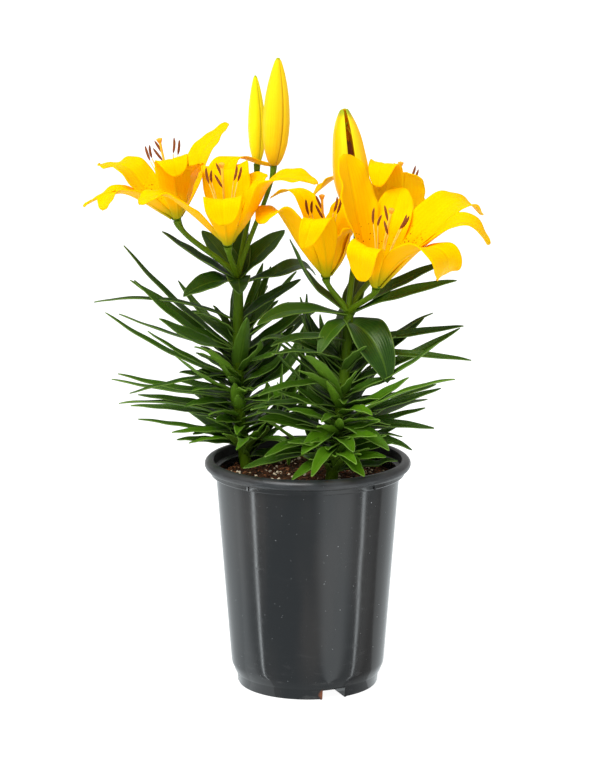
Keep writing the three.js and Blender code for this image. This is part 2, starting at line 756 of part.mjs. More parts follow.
// A point of the tepal's middle surface, lifted along its own normal. The blade wraps round the
// axis as a funnel near its claw and flattens out towards its tip.
function tepalPoint(tepal, line, i, v, lift) {
  const s = i / TEPAL_STEPS;
  const { out, high, angle } = lineAt(line, i * (1 + TEPAL_ARCH * v * v * (1 - s)));
  const arc = v * tepalHalf(tepal, s, out);
  const bend = mix(1 / Math.max(out, 2), tepal.channel, smooth((s - 0.1) / 0.6));
  const turn = arc * bend;
  const sideways = Math.abs(turn) > 1e-6 ? Math.sin(turn) / bend : arc;
  const inward = Math.abs(turn) > 1e-6 ? (1 - Math.cos(turn)) / bend : 0;
  const wave = tepal.wave * v * v * Math.sin(s * 15 + tepal.phase + v) * smooth((s - 0.2) / 0.5);
  const azimuth = (tepal.azimuth + tepal.sweep * s * s) * RAD;
  const radial = vec(Math.cos(azimuth), Math.sin(azimuth), 0);
  const tangent = vec(-Math.sin(azimuth), Math.cos(azimuth), 0);
  const face = radial.clone().multiplyScalar(-Math.cos(angle)).add(vec(0, 0, Math.sin(angle)));
  const normal = face.clone().multiplyScalar(Math.cos(turn)).addScaledVector(tangent, -Math.sin(turn));
  return radial
    .multiplyScalar(out)
    .add(vec(0, 0, high))
    .addScaledVector(tangent, sideways)
    .addScaledVector(face, inward)
    .addScaledVector(normal, lift + wave);
}

function tepalGeometry(tepal) {
  const line = tepalLine(tepal);
  const stations = [0, 11, 22, 31, 40, 48];
  const rows = (lift) =>
    stations.map((i) => [-1, 0, 1].map((v) => tepalPoint(tepal, line, i, v, lift)));
  return bladeBetween(rows(TEPAL_THICKNESS / 2), rows(-TEPAL_THICKNESS / 2));
}

// The six tepals of a bloom. The inner ones are broader and start nearer the axis.
function tepalsOf(bloom) {
  return bloom.tepals.map(([azimuth, flare, bend, curl, length, width, sweep], k) => ({
    azimuth,
    flare,
    bend,
    curl,
    length,
    width,
    sweep,
    claw: k % 2 ? 0.96 : 0.8,
    start: k % 2 ? 3.2 : 4.6,
    low: k % 2 ? 2.6 : 1.6,
    cup: bloom.cup,
    channel: 1 / 60,
    wave: k % 2 ? 1.5 : 0.8,
    phase: 1.7 * k,
  }));
}

function receptacle() {
  const { radius, height } = RECEPTACLE;
  const cup = [[0, 0], [radius - 0.4, 0], [radius + 0.5, height / 2], [radius - 1, height], [0, height]];
  return turned(cup, 6);
}

function tepalsSolid(bloom) {
  return fuse([receptacle(), ...tepalsOf(bloom).map(tepalGeometry)]);
}

// Six stamens from one collar round the pistil: each filament bends a little at its tip, where
// it swells into the anther.
function stamensSolid() {
  const low = RECEPTACLE.height + GAP;
  const inner = PISTIL.ovaryRadius + GAP;
  const outer = inner + 0.8;
  const high = low + 1.6;
  const collar = [[inner, low], [outer, low], [outer, high], [inner, high], [inner, low]];
  const pieces = [turned(collar, 6)];
  for (let k = 0; k < 6; k++) {
    pieces.push(stamenGeometry(k, low + 0.6));
  }
  return fuse(pieces);
}

function stamenGeometry(k, low) {
  const turn = (k * 60 + 30) * RAD;
  const outward = vec(Math.cos(turn), Math.sin(turn), 0);
  const { ring, radius, rise, reach } = FILAMENT;
  const filament = [0, 0.5, 1].map((t) =>
    outward.clone().multiplyScalar(ring + reach[k % 2] * t ** 1.6).add(vec(0, 0, low + rise[k % 2] * t)),
  );
  const sway = vec(-outward.y, outward.x, 0).multiplyScalar(ANTHER.sways[k]);
  const along = outward.clone().multiplyScalar(ANTHER.tilt).add(sway).add(vec(0, 0, 1)).normalize();
  const anther = [0.12, 0.55, 1].map((t) => filament[2].clone().addScaledVector(along, t * ANTHER.length));
  const radii = [radius, radius, 0.9 * radius, ANTHER.radius, ANTHER.radius, 0.6];
  return tube([...filament, ...anther], radii, 3);
}

// Ovary, style and three-lobed stigma.
function pistilGeometry() {
  const low = RECEPTACLE.height + GAP;
  const heights = [0, PISTIL.ovary, PISTIL.ovary + 2, PISTIL.length - 5, PISTIL.length - 1.5, PISTIL.length];
  const radii = [1.5, PISTIL.ovaryRadius, PISTIL.styleRadius, PISTIL.styleRadius + 0.1, PISTIL.stigma, 1.8];
  const rings = heights.map((h, i) =>
    Array.from({ length: 6 }, (_, k) => {
      const lobe = i === 4 ? 1 + 0.22 * Math.cos(Math.PI * k) : 1;
      const turn = (2 * Math.PI * k) / 6;
      return vec(radii[i] * lobe * Math.cos(turn), radii[i] * lobe * Math.sin(turn), low + h);
    }),
  );
  return loft(rings);
}

// Buds

// A closed bud: a spindle with three ribs between three seams.
function budGeometry(bud) {
  const levels = [0, 0.07, 0.2, 0.4, 0.62, 0.8, 0.93, 1];
  const girth = [0.28, 0.5, 0.8, 1, 0.83, 0.6, 0.4, 0.16];
  const rings = levels.map((level, i) =>
    Array.from({ length: 12 }, (_, k) => {
      const turn = (2 * Math.PI * k) / 12;
      const r = bud.radius * girth[i] * (1 + 0.07 * Math.cos(3 * turn));
      return vec(r * Math.cos(turn), r * Math.sin(turn), bud.length * level);
    }),
  );
  return loft(rings);
}

// The opening bud's tepals: swollen low down and still closed to a point, with a gap in front
// where the inner one is short.
const OPENING_TEPALS = {
  azimuths: [212, 150, 90, 35, 345, 280],
  outer: { length: 92, width: 28, claw: 1.2, cup: 19 },
  inner: { length: 80, width: 16, claw: 0.8, cup: 17 },
  short: { length: 33, width: 16, claw: 0.8, cup: 24 },
};

function openingTepals() {
  const { azimuths, outer, inner, short } = OPENING_TEPALS;
  return azimuths.map((azimuth, k) => ({
    azimuth,
    ...(k === 5 ? short : k % 2 ? inner : outer),
    flare: -27,
    bend: 0.8,
    curl: -18,
    sweep: 0,
    start: k % 2 ? 3.2 : 4.6,
    low: k % 2 ? 2.6 : 1.6,
    channel: 1 / 14,
    wave: 0,
    phase: 0,
  }));
}

// The bunch of closed anthers seen in the opening bud's gap, on one bundle of filaments.
const BUNCH = { ring: 1.9, core: 1.6, height: 50, anther: 1.6, half: 11 };

function antherBunch() {
  const low = RECEPTACLE.height + GAP;
  const top = low + BUNCH.height;
  const pieces = [tube([vec(0, 0, low), vec(0, 0, top - 4)], [BUNCH.core, BUNCH.core], 6)];
  for (let k = 0; k < 6; k++) {
    const turn = (k * 60 + 30) * RAD;
    const centre = vec(BUNCH.ring * Math.cos(turn), BUNCH.ring * Math.sin(turn), top);
    const ends = [-1, 0, 1].map((t) => centre.clone().add(vec(0, 0, t * BUNCH.half)));
    pieces.push(tube(ends, [0.8, BUNCH.anther, 0.8], 4));
  }
  return fuse(pieces);
}

// Assembly

function node(name, solid, material) {
  const geometry = solid.isBufferGeometry ? solid : geometryOf(solid);
  const mesh = new THREE.Mesh(geometry, material);
  mesh.name = name;
  return mesh;
}

const lily = new THREE.Group();
lily.add(node("pot", potSolid(), MATERIALS.plastic));
lily.add(node("soil", soilSolid(), MATERIALS.soil));
for (const [name, stem] of Object.entries(STEMS)) {
  const bulb = node("bulb_" + name, plantBulb(bulbGeometry(0), stem), MATERIALS.bulb);
  lily.add(bulb, node("leafy_stem_" + name, leafyStemSolid(name), MATERIALS.foliage));
}
for (const [name, bloom] of Object.entries(BLOOMS)) {
  const group = new THREE.Group();
  group.add(node(name + "_tepals", tepalsSolid(bloom), MATERIALS.tepal));
  group.add(node(name + "_stamens", stamensSolid(), MATERIALS.stamen));
  group.add(node(name + "_pistil", pistilGeometry(), MATERIALS.pistil));
  placeHead(group, bloom);
  lily.add(group);
}
for (const [name, bud] of Object.entries(BUDS)) {
  const group = new THREE.Group();
  group.add(node(name, budGeometry(bud), MATERIALS.bud));
  placeHead(group, bud);
  lily.add(group);
}
const opening = new THREE.Group();
const openingSolid = fuse([receptacle(), ...openingTepals().map(tepalGeometry)]);
opening.add(node("bud_opening_tepals", openingSolid, MATERIALS.bud));
opening.add(node("bud_opening_stamens", antherBunch(), MATERIALS.stamen));
placeHead(opening, OPENING_BUD);
lily.add(opening);

export default lily;
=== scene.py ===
import math

import bmesh
import bpy
from mathutils import Matrix, Vector, noise


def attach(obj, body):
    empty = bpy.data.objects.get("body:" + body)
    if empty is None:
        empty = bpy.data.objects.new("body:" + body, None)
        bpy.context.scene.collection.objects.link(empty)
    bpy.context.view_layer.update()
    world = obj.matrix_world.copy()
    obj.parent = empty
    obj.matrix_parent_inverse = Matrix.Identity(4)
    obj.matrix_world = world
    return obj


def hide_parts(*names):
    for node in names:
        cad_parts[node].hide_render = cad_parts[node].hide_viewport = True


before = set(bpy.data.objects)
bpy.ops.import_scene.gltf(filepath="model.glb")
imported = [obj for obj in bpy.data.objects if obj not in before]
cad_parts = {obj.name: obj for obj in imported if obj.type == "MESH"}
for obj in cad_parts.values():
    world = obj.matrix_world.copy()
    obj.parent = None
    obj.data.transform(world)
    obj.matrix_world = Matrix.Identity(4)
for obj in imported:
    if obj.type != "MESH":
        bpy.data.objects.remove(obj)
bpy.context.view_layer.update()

MM = 0.001

# Pot and soil
POT_HEIGHT = 185
RIM_RADIUS = 82.5
RIM_ROLL = (5.2, 4.4)
MOUTH_RADIUS = 75.4
WALL = 1.6
FLOOR = 2
FOOT_RADIUS = 56.4
FOOT_HEIGHT = 9.4
SHOULDER = (61.6, 18.5)
NECK = (73.4, 171.5)
NOTCH_COUNT = 3
NOTCH_FIRST = -68.4
NOTCH_SIZE = (19, 22, 9)
NOTCH_SLOT = (6, 11)
LUG_SIZE = (1.6, 1.4, 6.6)
LUG_TURNS = (-127, -48, 53, 132)
SOIL_LEVEL = 169.5
GAP = 0.3

# The litter on the soil: the least and greatest half length, width and height of a bark chip, half
# size of a round grain of grit and half sizes of a crumb. A draw below the first limit is bark and
# one below the second is grit. Then how far each bit turns about Z, X and Y, in radians, and the
# draw that leaves it straight.
LITTER_COUNT = 900
LITTER_SEED = 77
BARK_SIZES = ((1.6, 4.2), (0.9, 2.0), (0.5, 1.0))
GRIT_SIZES = (0.7, 1.8)
CRUMB_SIZES = ((0.8, 2.2), (0.7, 1.8), (0.6, 1.4))
BARK_BELOW = 0.3
GRIT_BELOW = 0.42
LITTER_SWINGS = ((6.28, 0, "Z"), (0.7, 0.5, "X"), (0.9, 0.5, "Y"))

# Plant
BULB_HEIGHT = 42
BULB_RADIUS = 21
STEM_RADIUS = (4.9, 4.1)
PEDICEL_RADIUS = (2.6, 2.1, 3.4)
BUD_STALK = 0.82
BLADE_THICKNESS = 0.8
LEAF_GRID = (8, 36)
LEAF_STEPS = 24
LEAF_TWIST = 28
STEM_RISE = 168
TEPAL_STEPS = 48
TEPAL_COLUMNS = 20
TEPAL_ARCH = 0.34
RECEPTACLE_HEIGHT = 4
FILAMENT_RISE = (44, 47)
FILAMENT_REACH = (10, 7)
FILAMENT_RADIUS = (0.75, 0.4)
ANTHER_LENGTH = 13
ANTHER_RADII = (0.1, 0.62, 0.92, 1.0, 0.95, 0.98, 0.9, 0.66, 0.1)
ANTHER_SWAYS = (-0.3, 0.4, -0.1, 0.5, -0.45, 0.2)
PISTIL_LENGTH = 62

# A tepal's foot, outer then inner: how far out and up it starts, how slim its claw is and how
# much its edge waves.
TEPAL_START = (4.6, 3.2)
TEPAL_LOW = (1.6, 2.6)
TEPAL_CLAW = (0.8, 0.96)
TEPAL_WAVE = (0.8, 1.5)

# The bunch of closed anthers in the opening bud: height above the receptacle, half an anther's
# length, its radius and how far it stands from the middle.
BUNCH_HEIGHT = 50
BUNCH_HALF = 11
BUNCH_RADIUS = 1.6
BUNCH_SPREAD = 1.9

# Studio: half the sides of the floor and of the card that the gloss mirrors, the card's height,
# and the brightness that the card and the surround have all over.
FLOOR_REACH = 14
CARD_REACH = 1.2
CARD_HEIGHT = 0.0004
STUDIO_GROUND = 0.85
SURROUND = 0.55

# Where on the pot's wall a bright line shows, in degrees to the left of its front, and the
# brightness of the side beyond it and of the line. Then the same place, half the spread in
# radians and the brightness of the lighter part in front, and the wall's radius in metres.
STUDIO_LINES = ((36.5, 0.7, 8.6), (-37.5, -0.4, 6.0))
STUDIO_FRONT = (-19, 0.62, 1.2)
MIRROR_RADIUS = 0.068

# Camera: focal length and sensor in millimetres, place in metres and tilt in degrees.
CAMERA_LENS = 141.13
CAMERA_SENSOR = 36
CAMERA_PLACE = (-0.0062, -2.329, 0.741)
CAMERA_TILT = 78.023

# Each stem: its bulb, and the curve from where it leaves the soil, by two guides, to its top. Then
# its number of spiral leaves, the length and width of the lowest, the seed of its draws, its side
# of the middle plane and the azimuth of the middle of the foliage.
STEMS = {
    "left": {
        "bulb": (-24, 14, 52),
        "curve": ((-49, 30, 168), (-60, 37, 215), (-54, 19, 280), (-56, 15, 330)),
        "leaves": 12,
        "base": (78, 11),
        "seed": 11,
        "side": 1,
        "middle": 20,
    },
    "right": {
        "bulb": (10, -15, 52),
        "curve": ((18, -26, 168), (24, -34, 215), (31, -14, 264), (32, -10, 306)),
        "leaves": 11,
        "base": (50, 14),
        "seed": 29,
        "side": -1,
        "middle": 140,
    },
}

# The narrow leaves that climb each stem in a spiral. Turn and sway set them round the stem, foot
# and climb along its curve. Rise is a leaf's slant at its root, and droop what it loses by its tip.
SPIRAL = {
    "turn": 137.508,
    "sway": 16,
    "foot": 0.05,
    "climb": 0.62,
    "rise": (16, 58),
    "droop": (14, 42),
    "length": (114, 70),
    "length_spread": (0.88, 1.06),
    "width": 12.5,
    "width_spread": (0.88, 1.1),
    "roll": 70,
    "shaded": 0.4,
    "short": 0.6,
}
# Below this height, in millimetres, leaves that face the front are painted lighter: young, and with painted
# light from the key light in front.
LIGHTER_BELOW = 285

# The small leaves close to each stem.
INNER = {
    "count": 96,
    "turn": 222.5,
    "sway": 40,
    "foot": 0.03,
    "climb": 0.67,
    "rise": (62, 24),
    "lift": 28,
    "nod": 18,
    "droop": 40,
    "length": (34, 74),
    "width": (8, 13),
    "roll": 60,
    "bare_above": 0.7,
    "bare_front": -0.3,
}

# The leaves of one plant keep to their side of this upright plane between the two stems.
MIDDLE_POINT = (-12, 2.5)
MIDDLE_NORMAL = (0.87, -0.49)
MIDDLE_CLEARANCE = 7
MIDDLE_REACH = 26

# Leaves placed one by one, first the broad top whorl of each stem: height below the stem's top,
# azimuth, rise, droop, length, width and roll.
PLACED_LEAVES = {
    "left": [
        (5, 176, 26, -14, 72, 20, 20),
        (2, 142, 48, 10, 50, 25, 0),
        (4, 34, 44, 12, 58, 26, 0),
        (6, 208, 14, 46, 50, 24, -10),
        (9, 348, 22, 36, 88, 17, 10),
        (4, 276, 26, 100, 23, 22, 0),
        (8, 82, 62, 14, 56, 20, 0),
        (66, 170, 32, -20, 126, 11, 15),
        (70, 190, 28, -20, 106, 10, -10),
        (41, 180, 26, 36, 118, 9, 20),
        (90, 182, 18, -20, 121, 10, 10),
        (66, 150, 4, -12, 116, 9, 30),
        (88, 204, 20, -20, 90, 10, 0),
        (66, 220, 15, -20, 88, 17, -30),
        (62, 140, 26, -20, 80, 9, 0),
        (102, 195, 6, -14, 102, 9, 0),
        (104, 170, 0, -12, 106, 9, 20),
        (84, 204, 0, 10, 94, 9, 20),
        (118, 186, 16, 8, 84, 10, 0),
        (124, 176, 14, 14, 90, 9, 0),
        (138, 196, 14, 2, 88, 9, 10),
        (136, 206, 16, 18, 62, 9, 0),
        (150, 190, 24, 26, 56, 10, 0),
        (126, 150, 6, 2, 72, 9, 0),
        (84, 284, 62, 10, 62, 16, 0),
        (98, 238, 40, -10, 58, 16, -20),
        (102, 222, 22, -20, 78, 15, 10),
        (118, 262, 50, 0, 40, 14, 0),
        (48, 40, 22, -6, 46, 10, 0),
        (62, 64, 55, 2, 76, 11, 0),
        (84, 56, 22, 10, 78, 10, 0),
        (42, 24, 42, 30, 66, 12, 10),
        (70, 36, 30, 22, 84, 10, 20),
        (100, 48, 24, 14, 90, 10, 0),
        (116, 60, 14, 20, 88, 11, 10),
        (132, 30, 20, 30, 60, 10, 0),
        (78, 330, 26, 24, 58, 11, 0),
        (108, 316, 20, 26, 62, 11, 20),
    ],
    "right": [
        (3, 4, 34, 12, 88, 14, 10),
        (5, -12, 28, 16, 92, 13, 20),
        (4, 172, 38, 6, 82, 15, 0),
        (6, 196, 16, 26, 96, 18, -10),
        (11, 315, -6, 78, 66, 36, 27),
        (9, 75, 46, 30, 62, 19, 0),
        (10, 232, 0, 60, 46, 18, 0),
        (64, 20, 22, -20, 80, 11, 0),
        (34, 6, 10, 4, 94, 9, 20),
        (74, 10, 20, -10, 104, 11, 10),
        (84, -24, 22, -20, 98, 10, 0),
        (42, -12, 4, 10, 100, 8, 20),
        (102, -26, 26, -12, 70, 13, 20),
        (90, 16, 0, -16, 80, 9, 0),
        (104, -4, 16, -4, 84, 10, 10),
        (114, 10, 10, -4, 72, 9, 0),
        (110, -8, 8, 16, 76, 10, 20),
        (118, 30, 8, 16, 48, 12, 0),
        (124, 2, 16, 48, 62, 11, 10),
        (110, -44, 6, 36, 56, 16, 10),
        (132, -68, 2, 30, 60, 15, 0),
        (124, -78, 20, 32, 60, 16, 0),
        (130, 255, 10, 30, 76, 14, 0),
        (114, 222, -2, 36, 42, 20, 0),
        (124, 206, 6, 18, 70, 15, 10),
        (134, 198, -2, -4, 96, 12, 0),
        (140, 220, 0, 30, 46, 13, 0),
        (86, 236, 36, 14, 70, 14, 20),
        (106, 206, 38, 22, 64, 12, 0),
        (114, 198, 34, 26, 76, 12, 0),
        (118, 188, 26, 22, 84, 10, 0),
        (62, 196, 46, 48, 92, 10, 0),
        (32, 214, 20, 30, 78, 12, 0),
        (52, 224, 26, 26, 84, 10, 10),
        (72, 214, 12, 20, 88, 10, 0),
        (94, 200, 14, 16, 92, 10, 10),
        (78, 168, 40, 20, 54, 10, 0),
        (42, 96, 40, 30, 64, 12, 0),
        (68, 70, 34, 20, 80, 11, 0),
    ],
}

# Blooms: stem, base, lean, the slant of the cup, and six tepals, outer and inner by turns. A tepal
# is its azimuth, flare, share of its length where it bends, curl, length, width and sweep.
TEPAL_ROW = ("azimuth", "flare", "bend", "curl", "length", "width", "sweep")
BLOOMS = {
    "bloom_left": ("left", (-103, 2, 376.5), (-12, 2), 44, [
        (284, -32, 0.78, 172, 78, 30, 0),
        (322, -40, 0.6, 50, 52, 36, 0),
        (42, -24, 0.56, 42, 92, 31, 0),
        (142, -16, 0.66, 58, 86, 38, 0),
        (178, 10, 0.62, 54, 78, 36, 0),
        (208, 16, 0.74, 70, 72, 37, 0),
    ]),
    "bloom_centre_left": ("left", (-62.4, -25, 360.3), (-4, -4), 40, [
        (270, -26, 0.7, 172, 76, 34, 0),
        (344, -12, 0.64, 74, 99, 43, 0),
        (58, -22, 0.62, 60, 72, 34, 0),
        (87, -20, 0.72, 100, 86, 42, 0),
        (108, -20, 0.72, 106, 98, 24, -52),
        (200, 6, 0.75, 62, 86, 36, 0),
    ]),
    "bloom_centre": ("right", (14.2, -20, 334.1), (-3, 0), 36, [
        (274, -22, 0.7, 188, 88, 24, -30),
        (326, -22, 0.7, 40, 48, 30, 0),
        (4, -26, 0.7, 30, 62, 26, 0),
        (50, -28, 0.75, 20, 62, 30, 0),
        (96, -19, 0.8, 110, 92, 18, 40),
        (206, -14, 0.76, 104, 86, 46, 0),
    ]),
    "bloom_right": ("right", (53, -38, 329.3), (10, -10), 30, [
        (238, -10, 0.6, 180, 80, 28, 0),
        (300, 28, 0.7, 158, 112, 40, 36),
        (348, 10, 0.76, 96, 114, 38, 4),
        (30, 15, 0.78, 86, 118, 44, 0),
        (81, -14, 0.57, 52, 90, 32, 0),
        (144, -5, 0.8, 3, 103, 52, 0),
    ]),
    "bloom_back": ("right", (67.8, 50, 350), (6, 4), 34, [
        (251, -14, 0.76, 150, 102, 28, 0),
        (277, -12, 0.84, 14, 66, 46, 0),
        (352, -6, 0.7, 60, 62, 34, 0),
        (30, -4, 0.6, 80, 66, 34, 0),
        (80, 0, 0.6, 90, 94, 28, 0),
        (178, 6, 0.64, 97, 98, 36, 0),
    ]),
}

# Closed buds: stem, base, lean, length and greatest radius. Then how green each one is, and the
# opening bud's stem, base and lean.
BUDS = {
    "bud_small": ("left", (-40.4, 35, 417), (-1, 0), 70, 7),
    "bud_large": ("left", (-27, 20, 417.5), (2.4, 0), 85, 10.8),
}
BUD_TONES = (1.0, 0.15)
OPENING_BUD = ("right", (38, 14, 373), (-6, -1))

# The opening bud's tepals, closed to a point, with a gap in front where the inner one is short.
OPENING_AZIMUTHS = (212, 150, 90, 35, 345, 280)
OPENING_OUTER = {"length": 92, "width": 28, "claw": 1.2, "cup": 19}
OPENING_INNER = {"length": 80, "width": 16, "claw": 0.8, "cup": 17}
OPENING_SHORT = {"length": 33, "width": 16, "claw": 0.8, "cup": 24}


def mix(a, b, t):
    return a + (b - a) * t


def smooth(t):
    c = min(1, max(0, t))
    return c * c * (3 - 2 * c)


def dice(seed):
    """A seeded draw from 0 to 1, the same on every run."""
    state = seed

    def draw():
        nonlocal state
        state = (state * 1664525 + 1013904223) % 4294967296
        return state / 4294967296

    return draw


def shares(steps):
    """Even shares from 0 to 1."""
    return [i / steps for i in range(steps + 1)]


def around(radius, turn, height=0):
    """The point at a radius, a turn in radians and a height."""
    return Vector((radius * math.cos(turn), radius * math.sin(turn), height))


def on_profile(profile, v):
    """The pair of values at a share of a profile's steps."""
    at = v * (len(profile) - 1)
    i = min(len(profile) - 2, int(at))
    return [mix(low, high, at - i) for low, high in zip(profile[i], profile[i + 1])]


def bezier(points, t):
    """A point of a curve that starts and ends at the outer points and leans to the two between."""
    a, b, c, d = (Vector(p) for p in points)
    u = 1 - t
    return a * u**3 + b * (3 * u * u * t) + c * (3 * u * t * t) + d * t**3


# Node trees


def node(tree, kind, settings=None, **inputs):
    """Adds a shader node; an input is a plain value or the socket that feeds it."""
    made = tree.nodes.new(kind)
    for key, value in (settings or {}).items():
        setattr(made, key, value)
    for key, value in inputs.items():
        place = int(key[1:]) if key[0] == "_" else key.replace("_", " ")
        if isinstance(value, bpy.types.NodeSocket):
            tree.links.new(value, made.inputs[place])
        else:
            made.inputs[place].default_value = value
    return made


def maths(tree, operation, a, b=0.0):
    return node(tree, "ShaderNodeMath", {"operation": operation}, _0=a, _1=b).outputs[0]


def times(tree, a, b):
    return maths(tree, "MULTIPLY", a, b)


def plus(tree, a, b):
    return maths(tree, "ADD", a, b)


def minus(tree, a, b):
    return maths(tree, "SUBTRACT", a, b)


def span(tree, value, low, high, to_low=0.0, to_high=1.0):
    """The value's place between low and high, smoothed, on the scale to_low to to_high."""
    smoothed = {"interpolation_type": "SMOOTHSTEP"}
    made = node(tree, "ShaderNodeMapRange", smoothed, _0=value, _1=low, _2=high, _3=to_low, _4=to_high)
    return made.outputs[0]


def blend(tree, share, a, b):
    made = node(tree, "ShaderNodeMix", {"data_type": "RGBA"}, _0=share, _6=a, _7=b)
    return made.outputs[2]


def rgb(red, green, blue):
    return (red, green, blue, 1)


def noise_of(tree, vector, scale, detail=3, roughness=0.5):
    """Noise at one scale, or at a scale for each axis."""
    if isinstance(scale, tuple):
        vector = scaled(tree, vector, scale)
        scale = 1.0
    made = node(tree, "ShaderNodeTexNoise", Vector=vector, Scale=scale, Detail=detail, Roughness=roughness)
    return made.outputs["Fac"]


def scaled(tree, vector, factors):
    return node(tree, "ShaderNodeMapping", Vector=vector, Scale=factors).outputs[0]


def finish_named(name, **sockets):
    """A new material with its shader's plain sockets set."""
    made = bpy.data.materials.new(name)
    made.use_nodes = True
    shader = made.node_tree.nodes["Principled BSDF"]
    for key, value in sockets.items():
        shader.inputs[key.replace("_", " ")].default_value = value
    return made, made.node_tree, shader


def dress(tree, shader, colour, height, distance, strength):
    """Gives a finish its colour and its fine relief."""
    tree.links.new(colour, shader.inputs["Base Color"])
    bump = node(tree, "ShaderNodeBump", Height=height, Distance=distance, Strength=strength)
    tree.links.new(bump.outputs[0], shader.inputs["Normal"])


def let_light_in(shader, weight, radius, scale):
    """Lets light a little way into thin or fleshy parts, each colour by its own radius."""
    for key, value in {"Weight": weight, "Radius": radius, "Scale": scale}.items():
        shader.inputs["Subsurface " + key].default_value = value


def blade_axes(tree):
    """A blade's own map, and its shares across and along the blade."""
    uv = node(tree, "ShaderNodeUVMap", {"uv_map": "blade"}).outputs[0]
    parts = node(tree, "ShaderNodeSeparateXYZ", Vector=uv)
    return uv, parts.outputs[0], parts.outputs[1]


def tone_of(tree):
    """The tone that each blade carries, from 0 to 1."""
    return node(tree, "ShaderNodeAttribute", {"attribute_name": "tone"}).outputs["Fac"]


def off_centre(tree, across):
    """0 on a blade's midrib and 1 at its edges."""
    return times(tree, maths(tree, "ABSOLUTE", minus(tree, across, 0.5)), 2.0)


def fine_veins(tree, uv, across, phase, stretch, wander, low):
    """Lines along a blade that wander a little, as a wave with its phase in radians across the
    blade: 1 on a line and 0 where the wave is below low."""
    waver = times(tree, noise_of(tree, uv, stretch, 2), wander)
    wave = maths(tree, "SINE", plus(tree, times(tree, across, phase), waver))
    return span(tree, wave, low, 1.0)


# Finishes

# Leaf greens: body with painted shade, and young with painted light, then veins the same two ways.
LEAF_TOP = (
    rgb(0.01, 0.038, 0.003), rgb(0.07, 0.19, 0.004), rgb(0.034, 0.084, 0.009), rgb(0.13, 0.28, 0.012))
LEAF_UNDER = (
    rgb(0.034, 0.082, 0.009), rgb(0.11, 0.24, 0.01), rgb(0.07, 0.13, 0.022), rgb(0.16, 0.31, 0.03))

# A tepal's outside and inside: throat, partly painted shade, midrib and claw, and how far up the claw's
# green reaches.
TEPAL_OUTSIDE = (rgb(1.0, 0.5, 0.0), rgb(0.62, 0.4, 0.004), rgb(0.36, 0.36, 0.006), 0.26)
TEPAL_INSIDE = (rgb(1.0, 0.49, 0.0), rgb(0.8, 0.36, 0.0), rgb(0.5, 0.38, 0.004), 0.2)

# The opening bud's outside and inside: middle and edge, and how green its tip is.
OPENING_OUTSIDE = (rgb(1.0, 0.56, 0.0), rgb(0.9, 0.8, 0.01), 0.9)
OPENING_INSIDE = (rgb(1.0, 0.4, 0.0), rgb(1.0, 0.6, 0.0), 0.3)


def leaf_skin(name, under):
    """Waxy leaf with a pale midrib, fine parallel veins and a thin light edge."""
    made, tree, shader = finish_named(
        name, Roughness=0.42 if under else 0.3, Specular_IOR_Level=0.26, Specular_Tint=rgb(0.85, 1.0, 0.6))
    uv, across, along = blade_axes(tree)
    tone = tone_of(tree)
    off = off_centre(tree, across)
    veins = fine_veins(tree, uv, across, 82.0, (2, 9, 1), 2.5, -0.6)
    midrib = span(tree, off, 0.12, 0.02)
    blotch = noise_of(tree, scaled(tree, uv, (1.5, 6, 1)), 1.4, 4)
    dark, bright, vein_dark, vein_bright = LEAF_UNDER if under else LEAF_TOP
    # Painted shade and painted light: the tone runs from shaded dark green to the lit green of young leaves.
    body = blend(tree, tone, dark, bright)
    body = blend(tree, times(tree, veins, 0.35), body, blend(tree, tone, vein_dark, vein_bright))
    body = blend(tree, span(tree, blotch, 0.45, 0.75, 0, 0.35), body, rgb(0.035, 0.1, 0.004))
    body = blend(tree, times(tree, midrib, 0.4), body, rgb(0.09, 0.17, 0.012))
    body = blend(tree, span(tree, off, 0.9, 1.0, 0, 0.42), body, rgb(0.19, 0.31, 0.06))
    body = blend(tree, span(tree, along, 0.2, 0.0, 0, 0.4), body, rgb(0.09, 0.18, 0.004))
    height = minus(tree, times(tree, veins, 0.35), times(tree, midrib, 0.8))
    dress(tree, shader, body, height, 0.0004, 0.5)
    let_light_in(shader, 0.06, (0.5, 1.0, 0.15), 0.002)
    return made


def stalk_skin():
    """Round green stem or stalk with fine ribs along it, yellower where its tone is high."""
    made, tree, shader = finish_named(
        "stalk_skin", Roughness=0.4, Specular_IOR_Level=0.3, Specular_Tint=rgb(0.8, 1.0, 0.45))
    ribs = noise_of(tree, blade_axes(tree)[0], (26, 2, 1))
    body = blend(tree, tone_of(tree), rgb(0.03, 0.1, 0.002), rgb(0.22, 0.38, 0.008))
    body = blend(tree, span(tree, ribs, 0.4, 0.8, 0, 0.5), body, rgb(0.09, 0.21, 0.02))
    dress(tree, shader, body, ribs, 0.0005, 0.4)
    return made


